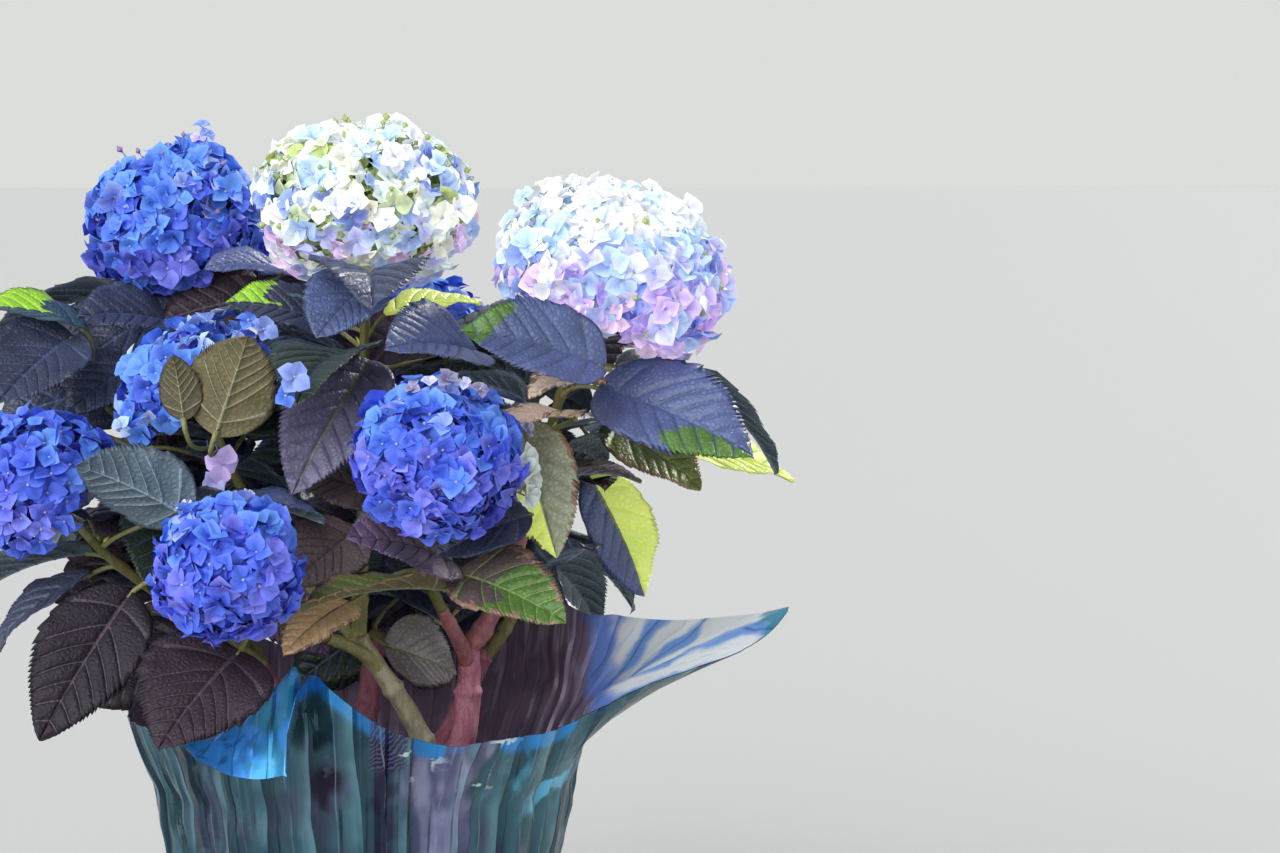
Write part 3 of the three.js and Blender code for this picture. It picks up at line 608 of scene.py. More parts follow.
def bark_material(name, colour, second, scale):
    """Bark: two colours in long streaks, small pale lenticels and fine cracks."""
    shader = Shader(name)
    streaks = shader.noise(scale, 5, stretch=(1, 1, 0.22))
    blotches = shader.noise(60, 3)
    base = shader.mix(colour, second, (streaks * 0.7 + blotches * 0.5).step(0.4, 0.8))
    spots = shader.noise(640, 1, stretch=(1, 1, 0.5)).step(0.62, 0.7)
    base = shader.mix(base, shade(second, 1.15), spots * 0.5)
    cracks = (shader.noise(160, 3, stretch=(1, 1, 0.3)) - 0.5).size().step(0.012, 0.0)
    base = shader.mix(base, shade(colour, 0.5), cracks * 0.35)
    height = streaks * 0.7 + spots * 0.3 - cracks * 0.3
    return shader.finish(base, streaks * 0.3 + 0.5, height, 0.0008)


LEAF_TONES = {
    # The slate tones are partly the leaves' own dark colour and partly a painted blue sheen of sky
    # reflection
    "slate": "5a6590",
    "slate_dark": "3f4459",
    "plum": "66516b",
    "plum_brown": "32212b",
    "plum_deep": "241822",
    "plum_grey": "767089",
    "umber": "685857",
    "green": "587c30",
    "lit": "e6fd78",
    "lime_lit": "a2d62c",
    "teal": "3a545e",
    "olive": "77803f",
    "dusk_green": "34422f",
    "khaki": "6d6543",
    "brown": "5b543b",
    "grey_teal": "5a6a72",
    "grey_light": "9a9292",
    "grey_olive": "b0b596",
    "tan": "e0c4a8",
    "dried_brown": "c8a67a",
    "crisp": "a07c64",
    "vein_slate": "566285",
    "vein_plum": "57474f",
    "vein_pale": "94926f",
    "vein_green": "93a85a",
    "vein_teal": "8797a1",
}

# What goes with an upper side: the underside, and the veins above and below
SLATE_BACK = ("grey_teal", "vein_slate", "vein_teal")
PLUM_BACK = ("umber", "vein_plum", "vein_teal")
UMBER_BACK = ("khaki", "vein_plum", "vein_pale")
OLIVE_BACK = ("khaki", "vein_green", "vein_pale")


def look_of(upper, back, crisp, patch=None, right=None):
    """A leaf's look: its upper side to the left and right of the midrib, what goes with that, and how
    much of its margin is brown and crisp. A patch has a tone, the share of the length that it starts
    at, and whether it is on the right half alone."""
    return (upper, right or upper, *back, crisp, patch)


LOOKS = {
    "slate": look_of("slate", SLATE_BACK, 0.03),
    "slate_dark": look_of("slate_dark", SLATE_BACK, 0.03),
    # A green patch is partly the blade's own green and partly painted sunlight shining through it
    "slate_green_tip": look_of("slate", SLATE_BACK, 0.06, ("green", 0.64, True)),
    "slate_green_end": look_of("slate", SLATE_BACK, 0.02, ("green", 0.78, False)),
    "plum": look_of("plum", PLUM_BACK, 0.015),
    "plum_brown": look_of("plum_brown", PLUM_BACK, 0.015),
    "plum_deep": look_of("plum_deep", PLUM_BACK, 0.015),
    "plum_grey": look_of("plum_grey", ("umber", "vein_pale", "vein_teal"), 0.05),
    "umber": look_of("umber", UMBER_BACK, 0.04),
    "green": look_of("dusk_green", SLATE_BACK, 0.05),
    # Its green patch is partly the blade's own green and partly painted sunlight shining through it
    "green_tip": look_of("umber", OLIVE_BACK, 0.16, ("green", 0.45, False)),
    "lit": look_of("lit", ("lit", "vein_green", "vein_green"), 0.03),
    "slate_and_lit": look_of("lit", ("grey_teal", "vein_pale", "vein_teal"), 0.03, right="slate"),
    "dark_lit": look_of("slate_dark", SLATE_BACK, 0.03, ("lime_lit", 0.55, True)),
    "teal_lit": look_of("teal", SLATE_BACK, 0.03, ("lime_lit", 0.3, True)),
    "olive": look_of("olive", OLIVE_BACK, 0.15),
    "grey_olive": look_of("grey_olive", ("khaki", "vein_pale", "vein_pale"), 0.1, ("lit", 0.6, True)),
    "tan": look_of("tan", ("tan", "vein_pale", "vein_pale"), 0.2),
    "dried": look_of("dried_brown", ("dried_brown", "vein_pale", "vein_pale"), 0.12),
    "khaki_under": look_of("plum", UMBER_BACK, 0.03),
    "brown_under": look_of("plum", ("brown", "vein_plum", "vein_pale"), 0.03),
    "grey_under": look_of("plum", ("grey_teal", "vein_plum", "vein_teal"), 0.01),
    "light_under": look_of("plum", ("grey_light", "vein_plum", "vein_pale"), 0.04),
}
PAIR_LOOKS = ("slate_dark", "plum", "slate", "green", "plum_brown", "slate_dark")


def stem_path(name):
    """A stem's curve from its foot on the potting mix to its fork."""
    stem = STEMS[name]
    start = np.array([*stem.foot, SOIL_TOP + GAP])
    return catmull_rom([start, start + UPRIGHT_FOOT * UP, stem.bend, stem.fork])


def end_heading(shoot):
    """The way a shoot ends: out from the plant's axis by its lean."""
    x, y, _ = shoot.end
    return heading(np.degrees(np.arctan2(y, x)), 90 - shoot.lean)


def shoot_end(shoot):
    """Where a shoot ends: under its flower head's core, or at its leafy tip."""
    end = np.array(shoot.end, float)
    if shoot.head is None:
        return end
    radius, flat = shoot.head
    return end - end_heading(shoot) * (radius * flat * CORE_SHARE + STALK_SHOWN)


def shoot_path(name):
    """A shoot's curve from the middle of its stem near the fork to its end."""
    shoot = SHOOTS[name]
    start = stem_path(shoot.stem).at(1 - shoot.order * FORK_STEP)
    end = shoot_end(shoot)
    length = np.linalg.norm(end - start)
    out = unit((end - start) * (1, 1, 0))
    first = start + UP * length * SHOOT_CLIMB + out * length * SHOOT_SPREAD
    second = end - end_heading(shoot) * length * SHOOT_TURN
    return bezier(start, first, second, end)


def node_swell(distance, seed):
    """The share that a limb is thicker by at each distance along it: a low ring at each node."""
    phase = (distance / NODE_SPACING + chance(seed)) % 1
    return NODE_SWELL * np.exp(-(((phase - 0.5) / NODE_WIDTH) ** 2))


def limb(path, radii, sides, seed, rough, step, share=(0, 1), flare=1):
    """A limb with bark relief: rings, a step apart, round a stretch of its path. Their radius is its
    taper, with a flare at the foot, times one plus the swelling at its nodes, five ridges that run
    along it, broad lumps and a fine unevenness."""
    count = max(4, int(path.length * (share[1] - share[0]) / step))
    t = np.linspace(share[0], share[1], count)
    centres = path.at(t)
    distance = t * path.length
    angle = round_angles(sides)
    ridges = np.sin(5 * angle + 0.02 * distance[:, None] + 6 * chance(seed))
    lumps = np.sin(2 * angle[None, :] + 0.21 * distance[:, None]) * np.sin(0.13 * distance[:, None] + seed)
    fine = np.sin(11 * angle[None, :] - 0.08 * distance[:, None]) * np.sin(0.5 * distance[:, None])
    relief = 1 + node_swell(distance, seed)[:, None] + rough * (0.5 * ridges + 0.7 * lumps + 0.3 * fine)
    along = (t - share[0]) / (share[1] - share[0])
    radius = lerp(*radii, along) * (1 + (flare - 1) * np.maximum(0, 1 - along / FLARE_HEIGHT))
    return tube(centres, radius[:, None] * relief, sides)


def stems_piece():
    """The five woody stems, flared at the foot, with knobs of bark at their nodes."""
    batch = Batch()
    red = bark_material("bark_red", "ba627a", "cf8c99", 240)
    brown = bark_material("bark_brown", "96866b", "c2b592", 240)
    for k, (name, stem) in enumerate(STEMS.items()):
        points, faces = limb(
            stem_path(name), stem.radii, sides=28, seed=11 * k, rough=0.09, step=1.2, flare=ROOT_FLARE
        )
        points[:, 2] = np.maximum(points[:, 2], SOIL_TOP + GAP)
        batch.add(points, faces, brown if name == "front" else red)
    batch.piece("stems", [f"stem_{name}" for name in STEMS])


def boughs_piece():
    """The fourteen boughs, which grow on from the stems and taper to the leafy shoots."""
    batch = Batch()
    red = bark_material("bough_red", "925361", "b87a72", 260)
    green = bark_material("bough_green", "868a58", "b0a069", 260)
    for k, (name, shoot) in enumerate(SHOOTS.items()):
        start = STEMS[shoot.stem].radii[1] * (SIDE_BOUGH if shoot.order else TOP_BOUGH)
        radii, share = (start, BOUGH_END_RADIUS), (0, BOUGH_SHARE)
        points, faces = limb(
            shoot_path(name), radii, sides=20, seed=50 + 7 * k, rough=0.06, step=1.6, share=share
        )
        batch.add(points, faces, red if shoot.stem == "right" else green)
    batch.piece("boughs", [f"bough_{name}" for name in SHOOTS])


def outline(u):
    """Half a blade's width at a share of its length, as a share of the widest: u to a power times one
    minus u to a power, scaled to 1 at the widest station."""
    u = np.clip(u, 0, 1)
    peak = LEAF_WIDEST**LEAF_SWELL * (1 - LEAF_WIDEST) ** LEAF_TAPER
    return u**LEAF_SWELL * (1 - u) ** LEAF_TAPER / peak


class Blade:
    """A leaf's blade: its axes at the foot and the arc it bends through to end at the leaf's tip."""

    def __init__(self, base, tip, face, width, droop):
        chord = tip - base
        self.base = base
        self.bend = np.radians(droop)
        self.length = 0.5 * np.linalg.norm(chord) * self.bend / np.sin(self.bend / 2)
        self.width = width
        chord = unit(chord)
        above = unit(face - (face @ chord) * chord)
        half = self.bend / 2
        self.along = chord * np.cos(half) + above * np.sin(half)
        self.face = above * np.cos(half) - chord * np.sin(half)
        self.side = np.cross(self.along, self.face)

    def place(self, x, y, lift):
        """Points at a share x of the length along the arc and y across it, both in lengths, raised by
        lift, with each half folded up from the midrib."""
        angle = self.bend * x[..., None]
        radius = self.length / self.bend
        upwards = self.face * np.cos(angle) + self.along * np.sin(angle)
        out = (y * self.length)[..., None]
        fold = np.radians(LEAF_FOLD)
        arc = self.along * np.sin(angle) - self.face * (1 - np.cos(angle))
        spread_out = self.side * np.cos(fold) * out + upwards * np.sin(fold) * np.abs(out)
        return self.base + arc * radius + spread_out + upwards * (lift * self.length)[..., None]


def vein_rows(veins, row_phases):
    """The rows of a blade's mesh: where each starts on the midrib, its phase between two side veins
    and where it lies in its tooth."""
    phases = (np.arange(veins)[:, None] + row_phases).ravel()[1:]
    tooth = (np.arange(1, len(phases) + 1) % TOOTH_ROWS) / (TOOTH_ROWS - 1)
    return phases / veins, phases % 1, tooth


def blade_grid(blade, seed, mesh):
    """The middle surface of a blade. Each row follows a side vein: it leaves the midrib at u and runs
    forward by slant times y plus curve times y squared, out to the margin, which is found by halving
    steps. Between veins the blade is quilted, and its margin is toothed and waved."""
    veins, row_phases, columns = mesh
    u, phase, tooth = vein_rows(veins, row_phases)
    lean = smooth(u, 0, 0.28) * (1 - 0.45 * smooth(u, 0.55, 1))
    half = 0.5 * blade.width

    def along(y):
        return u + lean * (VEIN_SLANT * y + VEIN_CURVE * y * y)

    low, high = np.zeros_like(u), np.full_like(u, MARGIN_LIMIT)
    for _ in range(MARGIN_STEPS):
        middle = 0.5 * (low + high)
        inside = middle < half * outline(along(middle))
        low, high = np.where(inside, middle, low), np.where(inside, high, middle)
    margin = low * (1 + TOOTH_DEPTH * (tooth - 0.5) * smooth(u, 0.03, 0.2))
    side_v = np.concatenate([-columns[:0:-1], columns])
    across = np.abs(side_v)
    y = margin[:, None] * across
    x = u[:, None] + lean[:, None] * (VEIN_SLANT * y + VEIN_CURVE * y * y)
    near = np.minimum(phase, 1 - phase)[:, None]
    pillow = 0.65 * (1 - np.exp(-((near / 0.1) ** 2))) + 0.35 * np.sin(np.pi * phase)[:, None]
    cells = np.sin(np.pi * (5 * across[None, :] + np.floor(u * veins)[:, None] * 0.5)) ** 2
    room = smooth(across, 0.0, 0.12) * (1 - 0.55 * smooth(across, 0.6, 1))
    lift = QUILT * room * (pillow + 0.2 * pillow * (cells - 0.5))
    lift = lift - MIDRIB_DIP * np.exp(-((across / 0.05) ** 2))
    turn = np.where(side_v < 0, 1.0, 0.0)
    wave = np.sin(2 * np.pi * ((1.3 + 0.9 * chance(seed)) * x + 0.5 * turn + chance(seed + 1)))
    ripples = np.sin(2 * np.pi * (4.3 * x + chance(seed + 2) + 0.3 * turn))
    lift = lift + across**2 * (MARGIN_WAVE * wave + MARGIN_RIPPLE * ripples)
    curl = MARGIN_CURL * spread(seed + 3)
    lift = lift + curl * across**3 - TIP_FALL * chance(seed + 4) * smooth(x, 0.6, 1) ** 2
    return x, y * np.sign(side_v), lift, across, near, u


def leaf(batch, blade, look, seed, mesh=FINE):
    """A blade as a thin closed lens: an upper and a lower surface that meet at the margin, the lower
    one with ridges along the veins and the midrib."""
    x, y, lift, across, near, u = blade_grid(blade, seed, mesh)
    rows, columns = x.shape
    half = 0.5 * BLADE / blade.length * (1 - across**6) * np.ones((rows, 1))
    ridge = VEIN_RIDGE * np.exp(-((near / 0.04) ** 2)) * (1 - across)
    ridge = (ridge + MIDRIB_RIDGE * np.exp(-((across / 0.04) ** 2))) * (1 - u[:, None])
    upper = blade.place(x, y, lift + half).reshape(-1, 3)
    lower = blade.place(x, y, lift - half - ridge).reshape(-1, 3)
    ends = blade.place(np.array([0.0, 1.0]), np.zeros(2), np.zeros(2))
    count = rows * columns
    inner = np.arange(count).reshape(rows, columns)
    under_index = inner + count
    under_index[:, 0] = inner[:, 0]
    under_index[:, -1] = inner[:, -1]
    foot, tip = 2 * count, 2 * count + 1

    def sheet(index, flip):
        grid = grid_faces(rows, columns)
        faces = index.ravel()[grid]
        a, b = index[0, :-1], index[0, 1:]
        c, d = index[-1, :-1], index[-1, 1:]
        fans = [np.stack([np.full_like(a, foot), b, a], -1), np.stack([np.full_like(c, tip), c, d], -1)]
        faces = np.concatenate([faces, *fans])
        return faces[:, ::-1] if flip else faces

    top, bottom = sheet(inner, False), sheet(under_index, True)
    slots = blade_slots(batch, len(mesh[1]), LOOKS[look], x, y, seed)
    points = np.concatenate([upper, lower, ends])
    batch.add(points, np.concatenate([top, bottom]), slots)


def blade_slots(batch, per, look, x, y, seed):
    """A material for each face: a tone for each half of the upper side, one for the underside, veins
    along the midrib and the side veins, brown patches at the margin, and a look's own patch from a
    share of the length on to the tip."""
    rows, columns = x.shape
    *tones, crisp, patch = look
    left, right, under, vein, under_vein = tones
    get = {name: batch.slot(LEAF_SKINS[name]) for name in (*tones, "crisp")}
    row = np.arange(rows - 1)[:, None] + np.zeros((1, columns - 1), int)
    column = np.zeros((rows - 1, 1), int) + np.arange(columns - 1)[None, :]
    middle = (columns - 1) / 2
    side = np.where(column < middle, get[left], get[right])
    midway = 0.25 * (x[1:, 1:] + x[:-1, 1:] + x[1:, :-1] + x[:-1, :-1])
    if patch is not None:
        name, start, right_half = patch
        there = midway + 0.1 * np.sin(9 * midway + 14 * y[1:, 1:] + seed) > start
        wanted = column > middle + 1 if right_half else True
        side = np.where(there & wanted, batch.slot(LEAF_SKINS[name]), side)
    beside_vein = np.isin((row + 1) % per, (0, per - 1))
    on_midrib = np.abs(column + 0.5 - middle) < 1
    out = np.abs(column + 0.5 - middle) / middle
    thin = beside_vein & (out < VEIN_REACH)
    upper = np.where(on_midrib | (thin & (vein != "vein_pale")), get[vein], side)
    lower = np.where(on_midrib | thin, get[under_vein], get[under])
    noise = 0.5 + 0.5 * np.sin(23 * midway + 3 * np.sin(41 * midway + seed) + 2 * np.sign(y[1:, 1:]))
    brown = out > 1.02 - crisp * (0.35 + 0.9 * noise)
    upper = np.where(brown, get["crisp"], upper)
    lower = np.where(brown, get["crisp"], lower)

    def flat(slots):
        grid = np.repeat(slots.ravel(), 2)
        return np.concatenate([grid, slots[0], slots[-1]])

    return np.concatenate([flat(upper), flat(lower)])


def petiole(batch, root, blade):
    """A leaf's stalk: a curve from inside the shoot to the foot of the midrib, thicker at its root."""
    end = blade.base + blade.along * 0.05 * blade.length - blade.face * 0.6
    reach = np.linalg.norm(end - root)
    away = unit((end - root) * (1, 1, 0) + (1e-6, 0, 0))
    first = root + (0.3 * away + 0.25 * UP) * reach
    second = end - blade.along * 0.35 * reach
    path = bezier(root, first, second, end, 24)
    t = np.linspace(0, 1, 16)
    radius = PETIOLE_RADIUS + 1.1 * np.exp(-t * 9) + 0.25 * smooth(t, 0.8, 1)
    batch.add(*tube(path.at(t), radius, 8), STALK_SKIN)


def front_leaf(path, first, foot, tip, front, width):
    """A leaf whose upper side leans from straight up to the front by front, in degrees. Its stalk's
    root is the place on the shoot, from the share first on, that is nearest to one below its foot."""
    base = np.array(foot, float)
    near = path.at(np.arange(first, LAST_ROOT, ROOT_STEP))
    root = near[np.argmin(np.linalg.norm(near - base + PETIOLE_DROP * UP, axis=1))]
    return root, Blade(base, np.array(tip, float), heading(270, 90 - front), width, SHOWN_DROOP)


def shown_leaves(name):
    """The leaves of a shoot that show one by one, each with its root on the shoot's own stem."""
    path = shoot_path(name)
    for *form, look in SHOWN_LEAVES.get(name, ()):
        yield *front_leaf(path, BOUGH_SHARE + 0.05, *form), look


def paired_leaves(name):
    """The leaves that a shoot grows by the rule. Where a leaf was turned or tilted to find room, its
    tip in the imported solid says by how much, and a leaf whose tip isn't there found none."""
    shoot = SHOOTS[name]
    path = shoot_path(name)
    first_seed = 31 * list(SHOOTS).index(name)
    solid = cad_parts[f"leaves_{name}"].data.vertices
    corners = np.zeros(3 * len(solid))
    solid.foreach_get("co", corners)
    corners = corners.reshape(-1, 3) / MM
    for pair in range(shoot.pairs):
        for side in range(2):
            own = first_seed + 7 * pair + 3 * side
            root = path.at(PAIR_START - PAIR_STEP * pair)
            length = PAIR_LENGTH * PAIR_SHRINK**pair * (1 + VARY_LENGTH * spread(own + 4))
            found = None
            for tilt in TRY_TILTS:
                for step in range(TRY_STEPS):
                    swing = TRY_TURN * ((step + 1) // 2) * (1 if step % 2 else -1)
                    azimuth = shoot.turn + 90 * pair + 180 * side + VARY_TURN * spread(own) + swing
                    rise = PAIR_RISE - PAIR_SINK * pair + VARY_RISE * spread(own + 1) + tilt
                    base = root + heading(azimuth, PETIOLE_RISE + tilt) * PETIOLE_LENGTH
                    tip = base + heading(azimuth, rise) * length
                    if found is None and np.linalg.norm(corners - tip, axis=1).min() < 1:
                        face = UP + heading(azimuth + 90, 0) * VARY_FACE * spread(own + 2)
                        width = LEAF_WIDTH * (1 + VARY_WIDTH * spread(own + 6))
                        droop = LEAF_DROOP * (1 + VARY_DROOP * spread(own + 5))
                        found = Blade(base, tip, face, width, droop)
            if found is not None:
                yield root, found, PAIR_LOOKS[int(own) % len(PAIR_LOOKS)]


STALK_SKIN = bark_material("stalk_skin", "8a9658", "8d8154", 300)
# Tones without a gloss, and the glow of those that the sun shines through
MATT_LEAVES = ("plum_deep", "plum_brown", "vein_plum", "umber", "khaki", "brown")
LEAF_GLOW = {"lit": 0.25, "lime_lit": 0.08, "green": 0.06, "tan": 0.16, "dried_brown": 0.1}
LEAF_SKINS = {
    name: leaf_material(f"leaf_{name}", colour, float(name not in MATT_LEAVES), LEAF_GLOW.get(name, 0))
    for name, colour in LEAF_TONES.items()
}
LEAF_GROUPS = {
    "leaves_front_side": ("right", "front", "low_front"),
    "leaves_upper_side": ("top", "left", "upper_left"),
    "leaves_left_side": ("far_left", "left_tip", "back_left"),
    "leaves_far_side": ("back_top", "back", "back_right", "right_tip", "back_tip"),
}
# Leaves deep in the crown: shares of a shoot that they grow at, their length, and their room: the Y
# that they stay behind, the height that they stay above and how far they go from the pot's axis
INNER_SHARES = np.arange(0.24, 0.94, 0.08)
INNER_LENGTH = 58
INNER_ROOM = (-40, 222, 165)
INNER_TRIES = 5
INNER_PETIOLE = 0.42 * PETIOLE_LENGTH
INNER_LOOKS = ("slate_dark", "plum", "green", "plum_brown", "slate_dark")
CLOSING_START = 0.1
CLOSING_WIDTH = 0.74
# Inner leaves that close the views between the outer ones: shoot, foot, tip, lean to the front, look
CLOSING_LEAVES = (
    ("left_tip", (-108, 6, 326), (-164, -8, 288), 40, "plum_brown"),
    ("front", (24, 26, 292), (-28, 14, 258), 50, "slate_dark"),
    ("right_tip", (56, 44, 288), (2, 34, 252), 56, "plum"),
    ("back", (6, 92, 250), (-52, 98, 208), 60, "green"),
    ("back_right", (80, 68, 270), (30, 56, 238), 56, "slate_dark"),
    ("back", (38, 86, 250), (-12, 82, 214), 60, "plum"),
    ("left_tip", (-108, 34, 442), (-166, 10, 404), 50, "slate_dark"),
    ("upper_left", (-56, 34, 446), (-118, 22, 432), 60, "plum_brown"),
    ("top", (-8, 26, 434), (-66, 26, 416), 60, "slate_dark"),
    ("back_top", (28, 64, 424), (-28, 56, 404), 64, "plum"),
    ("back_top", (86, 60, 424), (34, 54, 402), 64, "green"),
    ("left_tip", (-130, 24, 398), (-206, 0, 376), 60, "slate_dark"),
    ("left_tip", (-116, 30, 424), (-190, 16, 412), 56, "slate_dark"),
    ("far_left", (-98, 4, 306), (-172, -20, 276), 56, "plum_brown"),
    ("low_front", (-84, -46, 262), (-142, -66, 226), 60, "plum_deep"),
)


def head_frame(name):
    """A flower head's middle, axis, the matrix that tilts an upright form to it, and half its size."""
    shoot = SHOOTS[name]
    radius, flat = shoot.head
    axis = end_heading(shoot)
    tilt = frames_round(axis[None])[0]
    return np.array(shoot.end, float), axis, tilt, np.array([radius, radius, radius * flat])


def in_a_head(points):
    """Whether any of these points lies in a flower head."""
    for name, shoot in SHOOTS.items():
        if shoot.head is not None:
            centre, _, tilt, reach = head_frame(name)
            if np.linalg.norm((points - centre) @ tilt / reach, axis=1).min() < 1:
                return True
    return False


def inner_leaves(name):
    """The small leaves deep in the crown: one at each place on a shoot where it finds room, and those
    that close a view."""
    path = shoot_path(name)
    front, low, out = INNER_ROOM
    for k, share in enumerate(INNER_SHARES):
        for attempt in range(INNER_TRIES):
            own = 900 + 53 * list(SHOOTS).index(name) + 7 * k + 1.3 * attempt
            azimuth = 360 * chance(own)
            root = path.at(share)
            base = root + heading(azimuth, 24) * INNER_PETIOLE
            length = INNER_LENGTH * (1 + 0.22 * spread(own + 0.2))
            tip = base + heading(azimuth, 4 + 16 * spread(own + 0.4)) * length
            along = lerp(base, tip, np.linspace(0, 1, 6)[:, None])
            clear = along[:, 1].min() > front and along[:, 2].min() > low
            if clear and np.hypot(*along[:, :2].T).max() < out and not in_a_head(along):
                face = UP + 0.4 * heading(azimuth + 90, 0) * spread(own + 0.6)
                look = INNER_LOOKS[int(own) % len(INNER_LOOKS)]
                yield root, Blade(base, tip, face, LEAF_WIDTH, LEAF_DROOP), look
                break
    for shoot, foot, tip, front, look in CLOSING_LEAVES:
        if shoot == name:
            yield *front_leaf(path, CLOSING_START, foot, tip, front, CLOSING_WIDTH), look


def leaf_pieces():
    """The leaves in five pieces, the last of them deep in the crown, and in one more the shoots with the
    leaf stalks and a bud over each stalk of the other four."""
    stalks = Batch()
    bud_skin = leaf_material("axil_buds", "b9cf4a", 1.0)
    shoot_skin = bark_material("shoot_skin", "55642f", "7d6b3c", 300)
    for piece_name, names in LEAF_GROUPS.items():
        batch = Batch()
        for name in names:
            grown = [*shown_leaves(name), *paired_leaves(name)]
            for k, (root, blade, look) in enumerate(grown):
                seed = 17 * list(SHOOTS).index(name) + 5 * k
                leaf(batch, blade, look, seed)
                petiole(stalks, root, blade)
                bud = unit(blade.base - root + (0.3 * spread(seed), 0.3 * spread(seed + 1), 18))
                form = frames_round(bud[None]) * (1.5, 1.5, 3.6 + 1.5 * chance(seed))
                stalks.add(*copies(BEAD, form, root[None] + bud * 5.5), bud_skin)
        batch.piece(piece_name, [f"leaves_{name}" for name in names])
    inner = Batch()
    for index, name in enumerate(SHOOTS):
        for k, (root, blade, look) in enumerate(inner_leaves(name)):
            leaf(inner, blade, look, 600 + 17 * index + 5 * k, COARSE)
            petiole(stalks, root, blade)
    inner.piece("leaves_inside", [f"leaves_{name}" for name in SHOOTS])
    radii, share = (BOUGH_END_RADIUS, SHOOT_RADIUS), (BOUGH_SHARE, 1)
    for k, name in enumerate(SHOOTS):
        points, faces = limb(
            shoot_path(name), radii, sides=14, seed=90 + k, rough=0.04, step=1.8, share=share
        )
        stalks.add(points, faces, shoot_skin)
    stalks.piece("shoots_and_leaf_stalks", [f"leaves_{name}" for name in SHOOTS])


PETAL_TONES = {
    "deep": "2c41c4",
    "royal": "4063e2",
    "blue": "5080f0",
    "azure": "5a92f6",
    "violet": "5c66e0",
    "iris": "767cec",
    "periwinkle": "8fa6fa",
    "light": "b6cdff",
    "sky": "c3dcfb",
    "lavender": "c8c8ff",
    "lilac": "d4bcfb",
    "pink": "e9cdec",
    "white": "f4f8ff",
    "cream": "f3f4dc",
    "mint": "e4f4ea",
    "pale_green": "dbe7b4",
    "lime": "c3d27c",
    "dried": "9a90b4",
    "veil": "c4cdc6",
}
# Tones that let light through, and how much they glow with it
GLOWING_PETALS = ("light", "sky", "lavender", "lilac", "pink", "white", "cream", "mint")
PETAL_GLOW = 0.15
# Tones of each head's flowers: near its top, round its sides and near its rim
DEEP_PALETTE = (
    ("azure", "blue", "royal", "azure", "blue", "periwinkle"),
    ("royal", "blue", "royal", "violet", "blue", "royal", "iris"),
    ("violet", "royal", "iris", "royal", "violet"),
)
PALETTES = {
    "right": (
        ("white", "white", "sky", "white", "cream"),
        ("lavender", "light", "white", "periwinkle", "sky", "lavender", "white", "light"),
        ("lilac", "lavender", "lilac", "pink", "lilac", "light", "periwinkle"),
    ),
    "top": (
        ("white", "mint", "sky", "cream", "white"),
        ("white", "light", "cream", "mint", "white", "mint")
        + ("pale_green", "periwinkle", "white", "light", "lime"),
        ("pink", "cream", "lavender", "white", "light", "mint"),
    ),
    "upper_left": (
        ("azure", "periwinkle", "azure", "blue", "azure"),
        ("blue", "azure", "royal", "blue", "periwinkle", "azure"),
        ("violet", "royal", "blue", "iris"),
    ),
    "left": (
        ("azure", "light", "blue", "azure"),
        ("blue", "azure", "light", "azure", "royal"),
        ("azure", "light", "blue", "iris"),
    ),
    "far_left": (
        ("azure", "royal", "blue"),
        ("royal", "blue", "royal", "violet"),
        ("violet", "iris", "royal"),
    ),
}
# The tone of each head's inner layer, which shows in the gaps; the usual deep blue is partly real inner
# flowers and partly painted shade between the outer ones
INNER_TONES = {"right": "light", "top": "lime", "upper_left": "royal"}
STALK_TONES = {"top": "c3d173", "right": "b7c9a4"}
# Flowers on each head for its area, as a share of the usual crowd, and the area for each flower
CROWDS = {"left": 0.62, "far_left": 0.68, "top": 0.86, "right": 1.08}
FLORET_AREA = 95
SEPAL_LENGTH = 9.9
# A head's form: where its outer flowers stand as a share of its radius, and of its height, how far
# they go down from its top, and how far all of it is lowered
HEAD_FORM = (0.86, 0.86, 1.5, 0)
HEAD_FORMS = {
    "upper_left": (0.92, 0.84, 1.8, 10),
    "top": (0.88, 0.86, 1.9, 0),
    "right": (0.88, 0.86, 1.55, 0),
    "front": (0.86, 0.82, 1.65, 1),
    "low_front": (0.82, 0.83, 1.7, 0),
    "left": (0.86, 0.76, 1.28, 0),
    "back_top": (0.78, 0.78, 1.5, 0),
}
